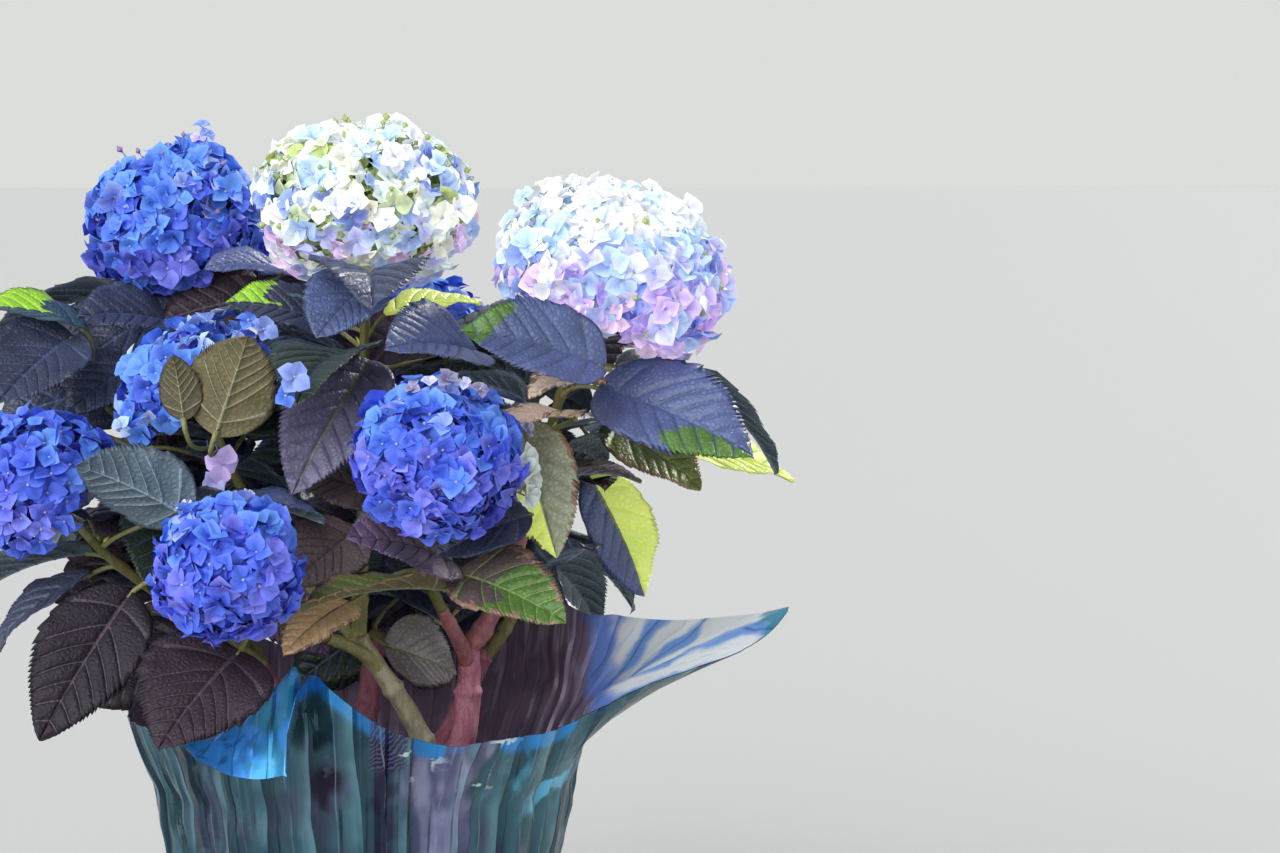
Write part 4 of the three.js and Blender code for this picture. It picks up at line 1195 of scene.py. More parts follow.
# Single flowers just outside their heads: place, tone and size
STRAY_FLOWERS = {
    "top": [
        ((-48, -10, 524), "sky", 8), ((-33, -8, 536), "cream", 8), ((-17, -12, 540), "white", 8),
        ((22, -10, 541), "white", 9), ((38, -12, 531), "cream", 7), ((48, -8, 516), "sky", 8),
        ((57, -12, 502), "white", 8), ((62, -14, 485), "light", 7), ((-53, -16, 508), "light", 7),
    ],
    "right": [
        ((93, -38, 504), "sky", 8), ((110, -36, 507), "white", 8), ((140, -36, 511), "white", 8),
        ((163, -34, 507), "white", 8), ((183, -36, 497), "white", 8),
        ((199, -38, 475), "lavender", 8), ((82, -40, 466), "periwinkle", 7),
        ((86, -42, 454), "light", 7),
    ],
    "front": [
        ((96, -122, 368), "veil", 8), ((99, -120, 358), "veil", 9), ((97, -122, 348), "veil", 8),
        ((96, -104, 381), "dried", 7), ((38, -128, 405), "dried", 5.5),
        ((47, -130, 408), "lavender", 5.5), ((56, -128, 409), "dried", 6),
        ((65, -126, 407), "lavender", 5.5), ((73, -122, 404), "dried", 6),
    ],
    "left": [
        ((-24, -125, 411), "periwinkle", 9.5), ((-29, -123, 401), "blue", 7),
        ((-48, -60, 432), "periwinkle", 7), ((-56, -62, 437), "blue", 6),
        ((-67, -92, 362), "lilac", 10), ((-72, -88, 353), "lavender", 9),
        ((-124, -72, 380), "light", 8), ((-112, -70, 376), "azure", 9), ((-119, -68, 389), "blue", 9),
    ],
    "low_front": [
        ((-87, -132, 334), "dried", 6.5), ((-90, -134, 325), "lavender", 6.5),
        ((-80, -134, 343), "lavender", 6), ((-56, -136, 350), "dried", 6),
        ((-47, -134, 351), "cream", 4.5),
    ],
    "upper_left": [
        ((-96, 54, 543), "periwinkle", 5), ((-93, 53, 538), "periwinkle", 5.5),
        ((-99, 53, 536), "lilac", 5), ((-95, 50, 531), "periwinkle", 6),
        ((-101, 52, 528), "lavender", 6.5), ((-90, 52, 529), "blue", 6.5),
    ],
}
SEPAL_ROWS = np.array([0.2, 0.46, 0.72, 0.92])
SEPALS = 4
# How far a flower's sepals rise, in degrees, and how its own sepals and its size vary
CUP = 14
VARY_CUP = 20
VARY_PITCH = 21
VARY_ROLL = 20
VARY_FLOWER = 0.2
VARY_SEPAL = 0.1
FLOWER_STALK = 0.5
# A head's layers of flowers: share of its radius, crowding and size
HEAD_LAYERS = ((1.0, 1.0, 1.0), (0.78, 0.5, 1.05))
# How much a head's flowers lean about and hang at its rim, and where their stalks start: the share of
# the radius out from the middle and back along the axis
FLOWER_LEAN = 0.66
FLOWER_HANG = 0.4
STALK_OUT = 0.35
STALK_BACK = 0.25
# A single flower faces away from the head's middle plus this, and its stalk starts at this share
STRAY_FACE = (0.0, -0.7, 0.1)
STRAY_STALK = 0.6
# Unopened buds: how far down the head they go, their reach and radius and how these vary
BUD_COVER = 1.3
BUD_REACH = 0.93
VARY_BUD_REACH = 0.09
BUD_RADIUS = 1.5
VARY_BUD_RADIUS = 0.9
BUD_STALK = 0.45
BUD_COUNTS = {"top": 150, "upper_left": 26, "right": 40}
# How uneven a head's form is and how its flowers' places vary, as shares of its radius, and hollows in
# it: middle and radius
USUAL_LUMPS = 0.09
LUMPS = {"top": 0.13, "left": 0.12, "right": 0.1}
VARY_PLACE = 0.075
HOLLOWS = {
    "front": [((94, -142, 336), 25)],
    "upper_left": [((-68, 18, 450), 26), ((-154, 30, 450), 24)],
    "far_left": [((-121, -112, 336), 22)],
}


def sepal_form():
    """One sepal a unit long, from its foot at the origin along x. Its half width at b is 0.54 times the
    sine of pi times b to the 1.15, to the 0.75, its sides are raised along a soft crease, and it bends
    up and then down again to its blunt point. The last value of each point is 1 at the margin."""
    half = 0.54 * np.sin(np.pi * SEPAL_ROWS**1.15) ** 0.75
    a = np.array([-1.0, 0.0, 1.0])
    rows = SEPAL_ROWS[:, None]
    x = rows - 0.05 * np.abs(a)
    y = half[:, None] * a
    z = 0.42 * rows * (1 - rows) - 0.1 * rows**3 + 0.34 * np.abs(a) * half[:, None]
    margin = np.maximum(np.abs(a), smooth(rows, 0.6, 1.0))
    grid = np.stack([x, y, z, margin], -1).reshape(-1, 4)
    points = np.concatenate([grid, [[0.02, 0, 0, 0]], [[1, 0, -0.1, 1]]])
    count = len(SEPAL_ROWS)
    foot, tip = 3 * count, 3 * count + 1
    last = 3 * (count - 1)
    ends = [[foot, 1, 0], [foot, 2, 1], [tip, last, last + 1], [tip, last + 1, last + 2]]
    return points, np.concatenate([grid_faces(count, 3)[:, ::-1], np.array(ends)[:, ::-1]])


def turns(angle, axis):
    """Rotation matrices by these angles about the x, y or z axis."""
    c, s = np.cos(angle), np.sin(angle)
    matrix = np.zeros((*np.shape(angle), 3, 3))
    matrix[..., axis, axis] = 1
    i, j = (axis + 1) % 3, (axis + 2) % 3
    matrix[..., i, i], matrix[..., j, j] = c, c
    matrix[..., i, j], matrix[..., j, i] = -s, s
    return matrix


def copies(form, matrices, places):
    """Copies of a form: its points turned by each matrix and moved to each place, with their faces."""
    points, faces = form
    made = np.einsum("nij,vj->nvi", matrices, points[:, :3]) + places[:, None]
    index = faces[None] + len(points) * np.arange(len(places))[:, None, None]
    return made.reshape(-1, 3), index.reshape(-1, 3)


def frames_round(normals):
    """For each normal, a matrix whose columns are two directions across it and the normal."""
    normals = unit(normals)
    reference = np.where(np.abs(normals[:, 2:]) < 0.9, UP, (1.0, 0.0, 0.0))
    side = unit(np.cross(reference, normals))
    return np.stack([side, np.cross(normals, side), normals], -1)


BEAD = (
    np.array([[1, 0, 0], [-1, 0, 0], [0, 1, 0], [0, -1, 0], [0, 0, 1], [0, 0, -1]], float),
    np.array([[0, 2, 4], [2, 1, 4], [1, 3, 4], [3, 0, 4], [2, 0, 5], [1, 2, 5], [3, 1, 5], [0, 3, 5]]),
)
PRISM = (
    np.array([[1, 0, 0], [-0.5, 0.87, 0], [-0.5, -0.87, 0], [1, 0, 1], [-0.5, 0.87, 1], [-0.5, -0.87, 1]]),
    np.array([[0, 1, 4], [0, 4, 3], [1, 2, 5], [1, 5, 4], [2, 0, 3], [2, 3, 5], [3, 4, 5], [0, 2, 1]]),
)


def bars(starts, ends, radius):
    """Three-sided stalks from starts to ends."""
    along = ends - starts
    length = np.linalg.norm(along, axis=1)
    thick = np.full_like(length, radius)
    matrices = frames_round(along) * np.stack([thick, thick, length], -1)[:, None]
    return copies(PRISM, matrices, starts)


def florets(batch, places, normals, size, tones, roots, stalk, seed):
    """Four-petalled flowers: each has four sepals, a bead in the middle and a stalk from its root."""
    count = len(places)
    own = seed + np.arange(count) * 1.37
    frames = frames_round(normals)
    k = np.arange(SEPALS)
    each = own[:, None] + 0.21 * k
    spin = 2 * np.pi * chance(own)[:, None] + np.pi / 2 * k + 0.2 * spread(each)
    cup = CUP + VARY_CUP * spread(own + 0.55)
    pitch = np.radians(cup[:, None] + VARY_PITCH * spread(each + 0.4))
    roll = np.radians(VARY_ROLL) * spread(each + 0.8)
    length = size * (1 + VARY_FLOWER * spread(own + 0.3))[:, None] * (1 + VARY_SEPAL * spread(each + 0.6))
    matrices = turns(spin, 2) @ turns(-pitch, 1) @ turns(roll, 0)
    matrices = frames[:, None] @ matrices * length[..., None, None]
    starts = places[:, None] + frames[:, None, :, 2] * (0.4 * (k % 2))[:, None]
    form = sepal_form()
    points, faces = copies(form, matrices.reshape(-1, 3, 3), starts.reshape(-1, 3))
    slots = np.array([batch.slot(PETALS[name]) for name in np.repeat(tones, SEPALS)])
    batch.add(points, faces, np.repeat(slots, len(form[1])), np.tile(form[0][:, 3], len(slots)))
    beads = copies(BEAD, frames * 1.2, places + frames[:, :, 2] * 0.8)
    batch.add(*beads, PETALS["bead"])
    batch.add(*bars(roots, places, FLOWER_STALK), stalk)


def tone_of(palette, height, seed):
    """The tone of each flower: from the part of the palette that its height on the head falls in."""
    height = height + 0.22 * spread(seed + 0.31 * np.arange(len(height)))
    part = np.where(height > 0.5, 0, np.where(height > -0.1, 1, 2))
    return np.array(
        [palette[p][int(len(palette[p]) * chance(seed + 0.77 * i))] for i, p in enumerate(part)]
    )


def spiral(count, cover, start=0.0):
    """Directions in a sunflower spiral from the pole at height 1 down by cover."""
    i = np.arange(count)
    height = 1 - cover * (i + 0.5) / count
    azimuth = i * GOLDEN + start
    level = np.sqrt(1 - height**2)
    return np.stack([level * np.cos(azimuth), level * np.sin(azimuth), height], -1)


def head_stalk(name):
    """The material of a head's inner stalks."""
    return PETALS[f"stalk_{name}"] if name in STALK_TONES else PETALS["stalk"]


def flower_head(batch, name, index):
    """A head: an outer layer of flowers on the head's rounded, uneven form in a sunflower spiral, bare
    under the rim, and a closer layer in one tone inside it."""
    radius, flat = SHOOTS[name].head
    centre, axis, tilt, _ = head_frame(name)
    palette = PALETTES.get(name, DEEP_PALETTE)
    # The inner layer's deep tone is partly painted shade between the outer flowers
    inner = INNER_TONES.get(name, "deep")
    level, upright, cover, drop = HEAD_FORMS.get(name, HEAD_FORM)
    centre[2] -= drop
    radii = np.array([level, level, flat * upright]) * radius
    area = 2 * np.pi * radius**2 * flat * cover * CROWDS.get(name, 1)
    for layer, (share, crowd, size) in enumerate(HEAD_LAYERS):
        count = int(area / FLORET_AREA * crowd)
        i = np.arange(count)
        way = spiral(count, cover, layer)
        seed = 400 * index + 170 * layer
        lumps = ripple(way * (6, 6, 6), 1.0, index) + 0.4 * ripple(way * (13, 13, 13), 1.0, index + 9)
        out = share * (1 + LUMPS.get(name, USUAL_LUMPS) * lumps + VARY_PLACE * spread(seed + i * 0.61))
        places = (way * radii * out[:, None]) @ tilt.T + centre
        wobble = np.stack([spread(seed + i * 0.9 + s) for s in (0.1, 0.2, 0.3)], -1)
        hang = smooth(-(way @ tilt.T)[:, 2:], -0.3, 0.8)
        normals = (unit(way / radii) + FLOWER_LEAN * wobble) @ tilt.T - FLOWER_HANG * hang * UP
        roots = (way * radii * STALK_OUT) @ tilt.T + centre - axis * radius * STALK_BACK
        tones = np.full(count, inner) if layer else tone_of(palette, way @ tilt.T @ UP, seed)
        kept = np.ones(count, bool)
        for middle, reach in HOLLOWS.get(name, ()):
            kept &= np.linalg.norm(places - middle, axis=1) > reach
        places, normals, roots, tones = places[kept], normals[kept], roots[kept], tones[kept]
        florets(batch, places, normals, SEPAL_LENGTH * size, tones, roots, head_stalk(name), seed)


def stray_flowers(batch, name, index):
    """The single flowers just outside a head, which face the front and away from its middle."""
    centre = np.array(SHOOTS[name].end, float)
    for k, (place, flower, size) in enumerate(STRAY_FLOWERS[name]):
        place = np.array([place], float)
        normal = unit(place - centre) + STRAY_FACE
        root = lerp(centre, place, STRAY_STALK)
        seed = 900 + 31 * index + 5 * k
        florets(batch, place, normal, size, [flower], root, head_stalk(name), seed)


def unopened(batch, name, index):
    """Small unopened buds that stand out between the flowers on thin stalks of their own."""
    count = BUD_COUNTS[name]
    centre, _, tilt, reach = head_frame(name)
    i = np.arange(count)
    wobble = np.stack([spread(i + s) for s in (0.1, 0.4, 0.7)], -1)
    way = unit(spiral(count, BUD_COVER, 2.1) + 0.12 * wobble)
    out = BUD_REACH + VARY_BUD_REACH * spread(index + i * 0.7)
    places = (way * reach * out[:, None]) @ tilt.T + centre
    roots = lerp(centre, places, 0.7)
    size = BUD_RADIUS + VARY_BUD_RADIUS * chance(i * 0.3 + index)
    bud = PETALS["bud"] if name == "upper_left" else PETALS["lime"]
    frames = frames_round(places - roots)
    batch.add(*copies(BEAD, frames * np.stack([size, size, size * 1.25], -1)[:, None], places), bud)
    batch.add(*bars(roots, places, BUD_STALK), head_stalk(name))


def petal_skins():
    """The materials of the flowers' parts by name."""
    skins = {
        name: petal_material(f"petal_{name}", colour, PETAL_GLOW if name in GLOWING_PETALS else 0)
        for name, colour in PETAL_TONES.items()
    }
    skins["bead"] = petal_material("petal_bead", "c9d2ee")
    skins["bud"] = petal_material("petal_bud", "a98fc0")
    skins["stalk"] = petal_material("flower_stalk", "7f8fd0")
    for name, colour in STALK_TONES.items():
        skins[f"stalk_{name}"] = petal_material(f"flower_stalk_{name}", colour)
    return skins


PETALS = petal_skins()
BRANCHES = 30
BRANCH_RADIUS = 1.0
FLOWER_GROUPS = {
    "flowers_blue": ("front", "left", "low_front", "far_left", "upper_left"),
    "flowers_pale": ("top", "right"),
    "flowers_far_side": ("back_top", "back_left", "back", "back_right"),
}


def flower_pieces():
    """The flower heads, each with its main stalk: the blue ones of the near side, the pale ones and the
    blue ones of the far side."""
    for piece_name, names in FLOWER_GROUPS.items():
        batch = Batch()
        for name in names:
            shoot = SHOOTS[name]
            index = list(SHOOTS).index(name)
            flower_head(batch, name, index)
            if name in BUD_COUNTS:
                unopened(batch, name, index)
            if name in STRAY_FLOWERS:
                stray_flowers(batch, name, index)
            t = np.linspace(0, 1, 12)[:, None]
            line = lerp(shoot_end(shoot), np.array(shoot.end), t)
            batch.add(*tube(line, 2.4 - 0.6 * t, 10), STALK_SKIN)
            branches(batch, name)
        batch.piece(piece_name, [f"flower_head_{name}" for name in names])


def branches(batch, name):
    """The head's inner branches: stalks that fan out from the end of the shoot under the flowers."""
    centre, axis, tilt, reach = head_frame(name)
    way = spiral(BRANCHES, 1.45, 0.4) * reach
    foot = centre - axis * reach[0] * 0.3 + np.zeros((BRANCHES, 3))
    batch.add(*bars(foot, centre + (way @ tilt.T) * 0.8, BRANCH_RADIUS), head_stalk(name))


def near_corner(corner, azimuth):
    """1 at a corner of the sheet, and 0 from the end of its spread on."""
    turn = (azimuth - corner.azimuth + 180) % 360 - 180
    return np.maximum(0, 1 - np.abs(turn) / np.where(turn < 0, *corner.spread))


def collar_reach(azimuth):
    """How far the sheet reaches past the crease: it comes to a point at each corner."""
    return COLLAR_LENGTH + sum(corner.reach * near_corner(corner, azimuth) ** 2 for corner in CORNERS)


def collar_rise(azimuth, share):
    """The collar's rise in degrees, bent by the corners' folds."""
    rise = COLLAR_RISE + 0 * azimuth * share
    for corner in CORNERS:
        folded = smooth((share - corner.fold) / FOLD_SOFTNESS, -1, 1)
        own = lerp(corner.rise, corner.folded_rise, folded)
        rise = rise + (own - COLLAR_RISE) * smooth(near_corner(corner, azimuth))
    return rise


def zigzag(x):
    """A wave of straight slopes between -1 and 1 with a period of 1."""
    return 4 * np.abs((x % 1) - 0.5) - 1


def knife(x):
    """A pleat pressed to one side: a slope from -0.5 to 0.5 that drops back in the last eighth."""
    t = x % 1
    return np.where(t < 0.875, t / 0.875, (1 - t) / 0.125) - 0.5


def crumple(across, height, seed):
    """Folds of pressed foil: zigzags in seeded directions that bend each other, so that flat facets meet
    in sharp creases."""
    total = 0
    for k in range(CRUMPLE_FOLDS):
        angle = np.pi * chance(seed + k)
        pitch = 14 + 30 * chance(seed + k + 0.3)
        bend = 9 * np.sin(across / 31 + 5 * chance(seed + k + 0.5)) + 7 * np.sin(height / 23 + k)
        line = across * np.cos(angle) + height * np.sin(angle) + bend
        total = total + zigzag(line / pitch) * pitch / 34
    return total / 5


FOIL_COLUMNS = 480
FOIL_WALL_ROWS = 42
FOIL_COLLAR_ROWS = 46
FOIL_SKIN = 0.5
# Pressed pleats: the pitch of the narrow and the broad ones, and the depth of them and of the facets
PLEAT_PITCH = 12.5
BROAD_PITCH = 29
PRESSED_DEPTH = 2.0
CRUMPLE_DEPTH = 1.8
CRUMPLE_FOLDS = 7
CREASE_DEPTH = 1.2
CREASE_WIDTH = 9
SHARP_FOLD = 16
# How far from the sheet's end its painted bright edge highlight begins and is full
RIM = (-14, -4)
# The thick fold of spare foil at the front: azimuth, half width in degrees, and how far it stands out
FRONT_FOLD = (280, 5, 3.2)


def foil_side():
    """The foil's outer side: a cone from base to crease, and the collar, whose rise is summed along its
    length. Its radius has the zigzag of the wide pleats, knife pleats of two pitches that run up it,
    crumpled facets, the front fold and the crease added, and its height has finer facets. Also its edge
    numbers, which rise to 1 along the end of the collar and fall to -1 in the pleats' grooves."""
    azimuth = np.arange(FOIL_COLUMNS) * 360 / FOIL_COLUMNS
    wall = np.linspace(0, 1, FOIL_WALL_ROWS, endpoint=False)[:, None]
    radius = lerp(FOIL_BASE_RADIUS, CREASE_RADIUS, wall) + 0 * azimuth
    height = CREASE_HEIGHT * wall + 0 * azimuth
    depth = lerp(PLEAT_AT_BASE, 1, wall) + 0 * azimuth
    share = np.linspace(0, 1, FOIL_COLLAR_ROWS)[:, None]
    rise = np.radians(collar_rise(azimuth, share))
    step = collar_reach(azimuth) / (FOIL_COLLAR_ROWS - 1)
    run = np.cumsum(np.cos(rise) * step, 0) - np.cos(rise) * step
    climb = np.cumsum(np.sin(rise) * step, 0) - np.sin(rise) * step
    radius = np.concatenate([radius, CREASE_RADIUS + run])
    height = np.concatenate([height, CREASE_HEIGHT + climb])
    depth = np.concatenate([depth, lerp(1, PLEAT_AT_END, share) + 0 * azimuth])
    rim = smooth((share - 1) * collar_reach(azimuth), *RIM)
    across = np.radians(azimuth) * CREASE_RADIUS + 0 * height
    where = np.stack([across, height, 0 * height], -1)
    pleat = 0.5 * zigzag(azimuth / 360 * PLEATS + 0 * height)
    sway = 4 * ripple(where, 0.035, 8)
    fine, broad = (across + sway) / PLEAT_PITCH, (across + 2 * sway) / BROAD_PITCH + 0.3
    pressed = knife(fine) + 0.6 * knife(broad)
    groove = np.maximum(0.7 * smooth(fine % 1, 0.72, 0.92), smooth(broad % 1, 0.86, 0.95))
    edge = np.concatenate([0 * wall + 0 * azimuth, rim])
    edge = np.where(edge > 0, edge, -groove * (0.45 + 0.55 * smooth(ripple(where, 0.05, 14), -0.3, 0.4)))
    loose = 0.4 + 0.6 * smooth(ripple(where, 0.03, 3), -0.4, 0.5)
    low = smooth(height, 0, 18)
    fold_azimuth, fold_width, fold_out = FRONT_FOLD
    away = (azimuth - fold_azimuth) / fold_width
    fold = fold_out * np.exp(-(away**2)) * (0.6 + 0.4 * zigzag(azimuth / 3))
    creased = PRESSED_DEPTH * pressed * loose + CRUMPLE_DEPTH * crumple(across, height, 5) + fold
    folds = depth * PLEAT_DEPTH * pleat + low * creased
    crease = -CREASE_DEPTH * np.exp(-(((height - CREASE_HEIGHT) / CREASE_WIDTH) ** 2))
    radius = radius + folds + crease
    points = heading(azimuth, 0)[None] * radius[..., None]
    points[..., 2] = height + low * 0.8 * crumple(across, height, 21)
    return points, edge


def foil_normals(points):
    """Outward normals of a grid of points that is closed round: the cross product of its two steps."""
    across = np.roll(points, -1, 1) - np.roll(points, 1, 1)
    along = np.gradient(points, axis=0)
    return unit(np.cross(across, along))


# The film's fine pleats on each side, counted round the pot
OUTER_PLEATS = 28
INNER_PLEATS = 56
PLEAT_RELIEF = 0.002
WRINKLE_PITCH = 0.0021


def pleats(shader, count):
    """The film's pleats, counted round the pot: a whole number in the fold between two."""
    around = shader.axis("Y").angle(shader.axis("X")) * (count / (2 * np.pi))
    drift = shader.noise(14, 2, (1, 1, 0.5)) * 1.8 + shader.noise(45, 2, (1, 1, 0.15)) * 0.7
    return around + drift * (count / INNER_PLEATS)


def foil_finish(shader, base, roughness, metallic, crinkle, stretch, count):
    """Metallised film over its colours: pleats with a painted dark line of shade between two and a painted
    highlight line on each, fine wrinkles along them, and short painted glints across them where the
    film is crinkled."""
    ridge = pleats(shader, count).fold(0.5) * 2
    fine = shader.noise(260, 2, stretch)
    short = shader.noise(130, 2, (0.5, 0.5, 1.2))
    line = 0.0016 * count
    base = shader.coats(
        base,
        # Painted shade in the fold between two pleats, a painted highlight on each ridge, and painted
        # glints where the film is crinkled
        ("0f1c27", ridge.step(line, 0.0) * 0.5),
        ("a5c9d6", ridge.step(1 - line, 1.0) * fine.step(0.4, 0.6) * 0.35),
        ("dcf0f7", (fine * 0.25 + short * 0.75).step(0.58, 0.64) * crinkle),
    )
    height = ridge * (25 / count) + fine * 0.1 + short * crinkle * 0.03
    return shader.finish(base, fine * 0.2 + roughness, height, PLEAT_RELIEF, metallic=metallic)


def foil_outside():
    """Teal film with painted reflections: greyer and darker streaks and patches, violet patches and pale
    highlight streaks, with painted shade in its grooves. The front fold is painted as a dark violet
    reflection, with painted shade and painted highlight lines on the wavy creases at its top, and painted
    lilac and silver reflections beside it; the edge and the turn of the wall to the right have painted
    bright blue highlights. Each pleat goes from painted shade to a painted highlight across. An azimuth
    is in radians here."""
    shader = Shader("foil_outside")
    azimuth = shader.axis("Y").angle(shader.axis("X"))
    height = shader.axis("Z")
    wander = shader.noise(26, 3) - 0.5
    around = azimuth + wander * 0.4
    level = height + wander * 0.07
    streaks = shader.noise(60, 2, (1, 1, 0.09))
    patches = shader.noise(15, 3)

    def band(centre, half):
        return around.near(centre, half, 0.09)

    # Painted silver highlights in the lilac reflection beside the front fold
    silver = (streaks * 1.3 + shader.noise(50, 3) * 0.3).step(0.72, 1.1)
    # Painted bright blue highlights: where the wall turns to the right, and on the dent near the top
    slope = (level - 0.1936 - around * 0.0426).size()
    bright = band(-0.48, 0.24) * (0.0085 + (patches - 0.5) * 0.012 - slope).step(0, 0.003)
    dent_highlight = band(-0.82, 0.12) * level.near(0.189, 0.011, 0.004) * streaks.step(0.42, 0.56)
    front = azimuth.near(-1.57, 0.2, 0.04) + azimuth.near(-1.22, 0.08, 0.03)
    front = front + azimuth.near(-0.68, 0.24, 0.06) * 0.8
    # The painted bright blue highlight along the edge, strongest at the front
    rim = shader.edge() * (front + shader.noise(52, 3).step(0.56, 0.66) * 0.4)
    # Each pleat's place across it, which sets its painted shade and highlight
    across = pleats(shader, OUTER_PLEATS).part()
    # Wavy creases at the top of the front fold, painted as highlight lines in its painted shade
    beside, above = (azimuth + 1.52) * 0.115, height - 0.229
    bent = (beside * beside + above * above) ** 0.5 + (shader.noise(110, 2) - 0.5) * 0.007
    wrinkles = (bent * (1 / WRINKLE_PITCH)).fold(0.5).step(0.25, 0.42)
    fold_top = azimuth.near(-1.385, 0.085, 0.02) * (0.2 - height).step(0, -0.006)
    base = shader.coats(
        # Painted reflections: the teal goes greyer and darker in streaks and patches, violet in patches and
        # pale in highlight streaks
        shader.mix("49707d", "2b4352", (streaks * 0.6 + patches * 0.6).step(0.45, 0.78)),
        ("575473", (shader.noise(22, 4) + streaks * 0.3).step(0.68, 0.82) * 0.6),
        ("93b8c8", (streaks + shader.noise(40, 3) * 0.5).step(0.9, 1.08) * 0.6),
        # Painted reflections beside the front fold (lilac with silver highlights) and right of that (dark
        # violet), the fold itself painted as a dark violet reflection, and the painted shade of the patch
        # left of it
        (shader.mix("5f5f84", "a4a8c8", silver), band(-1.14, 0.22) * (streaks + 0.3).step(0.5, 0.8)),
        ("433861", band(-0.84, 0.1) * (0.19 - level).step(0, 0.02) * 0.8),
        ("2a2442", band(-1.4, 0.1) * (streaks + 0.5).step(0.6, 0.9) * 0.9),
        ("2b2036", band(-1.66, 0.13) * level.near(0.196, 0.012, 0.01)),
        # Painted bright blue highlights on the turn of the wall and the dent
        ("74ccf4", bright * 0.85 + dent_highlight * 0.8),
        # Painted shade in the pleats' grooves
        ("111e28", (shader.edge() * -1).step(0.3, 0.9) * 0.35),
        # Painted bright blue highlight along the edge
        ("3a93dc", rim.step(0.1, 0.9)),
        # Painted shade on one side of each pleat and a painted highlight on the other
        ("102530", across.step(0.5, 0.0) * 0.45),
        ("8cc3cf", across.step(0.55, 1.0) * shader.noise(30, 2).step(0.35, 0.6) * 0.4),
        # Painted shade at the top of the front fold, with painted highlight lines on its creases
        ("2d2848", fold_top * 0.7),
        ("8d8ab4", wrinkles * fold_top * 0.4),
    )
    # Where the film is crinkled, for its painted glints and a little relief
    loose = shader.noise(16, 2).step(0.5, 0.64) * 0.12
    beside_fold = band(-1.28, 0.16) * (level - 0.192).step(0, 0.02)
    pressed = beside_fold + band(-0.9, 0.12) * (level - 0.188).step(0, 0.02)
    crinkle = loose + pressed * 0.85
    return foil_finish(shader, base, 0.14, 0.75, crinkle, (1, 1, 0.07), OUTER_PLEATS)


def foil_inside():
    """The sheet's other side: dark violet grey in the pot's shade; on the corner that turns out to the
    right, painted sunlight in silver-white, with painted pale blue shade in its creases and blotches and a
    painted blue band where the shade gives way; teal and bright blue on the one folded over at the front."""
    shader = Shader("foil_inside")
    streaks = shader.noise(60, 5, (0.4, 1, 0.35))
    patches = shader.noise(34, 3, (0.5, 1, 1))
    stripes = shader.noise(150, 2, (1, 1, 0.08))
    creases = pleats(shader, INNER_PLEATS).fold(0.5)
    # Painted sunlight on the corner that turns out to the right: silver-white, with painted pale blue shade
    # in its creases and blotches
    sunny = shader.mix("fbfdff", "86b2fa", (patches * 0.6 + streaks * 0.3 - creases * 0.6).step(0.25, 0.4))
    blue = shader.coats(
        shader.mix("449ef6", "2465ac", stripes.step(0.5, 0.66) * 0.8),
        ("2c8f93", (patches - 0.5).step(0.02, 0.12) * 0.6),
    )
    right = shader.axis("X") + (streaks - 0.5) * 0.03
    front = (shader.axis("Y") * -1 + (patches - 0.5) * 0.01).step(0.108, 0.116)
    base = shader.coats(
        shader.mix("9b839f", "6b5a74", (streaks * 0.6 + patches * 0.5).step(0.4, 0.75)),
        ("8a86a8", (streaks + patches * 0.3).step(0.85, 1.0) * 0.5),
        # A painted blue band where the shade gives way to the corner's painted sunlight, then the sunlit
        # corner
        ("7c9cf2", right.step(0.122, 0.132)),
        (sunny, right.step(0.134, 0.148)),
        ("2f8fae", right.step(0.222, 0.23) * 0.9),
        (blue, front),
    )
    return foil_finish(shader, base, 0.22, front * 0.4 + 0.08, front * 0.05, (0.35, 0.5, 0.2), INNER_PLEATS)


def foil_piece():
    """The foil as one closed sheet with sharp folds and a flat underside: its outer side, the same
    moved in by the sheet's thickness, a floor for each, and a strip that joins them along the end."""
    batch = Batch()
    outer, edge = foil_side()
    inner = outer - foil_normals(outer) * FOIL_SKIN
    inner[0, :, 2] = FOIL_SKIN
    rows, columns = outer.shape[:2]
    count = rows * columns
    grid = grid_faces(rows, columns, wrap=True)
    middle = np.array([[0, 0, 0], [0, 0, FOIL_SKIN]], float)
    base = np.arange(columns)
    floor = fan(2 * count, base)
    inner_floor = fan(2 * count + 1, count + base, flip=True)
    top = (rows - 1) * columns + base
    turned = np.roll(top, -1)
    corners = (top, turned, count + turned), (top, count + turned, count + top)
    end = [np.stack(three, -1) for three in corners]
    points = np.concatenate([outer.reshape(-1, 3), inner.reshape(-1, 3), middle])
    outside = np.concatenate([grid, floor, *end])
    inside = np.concatenate([count + grid[:, ::-1], inner_floor])
    faces = np.concatenate([outside, inside])
    skins = [batch.slot(foil_outside()), batch.slot(foil_inside())]
    sides = np.repeat(skins, [len(outside), len(inside)])
    batch.add(points, faces, sides, np.concatenate([edge.ravel(), edge.ravel(), [0, 0]]))
    thing = batch.piece("foil", ["foil_wrap"])
    thing.data.set_sharp_from_angle(angle=np.radians(SHARP_FOLD))


def lathe(profile, sides):
    """A profile of radius and height, from the axis to the axis, turned about the vertical axis."""
    profile = np.asarray(profile, float)
    angle = round_angles(sides)
    ring = np.stack([np.cos(angle), np.sin(angle)], -1)
    rings = profile[1:-1]
    points = np.concatenate([rings[:, None, :1] * ring, np.repeat(rings[:, None, 1:], sides, 1)], -1)
    poles = [[0, 0, profile[0, 1]], [0, 0, profile[-1, 1]]]
    count = len(rings) * sides
    corners = np.arange(sides)
    ends = fan(count, corners), fan(count + 1, count - sides + corners, flip=True)
    faces = np.concatenate([grid_faces(len(rings), sides, wrap=True), *ends])
    return np.concatenate([points.reshape(-1, 3), poles]), faces


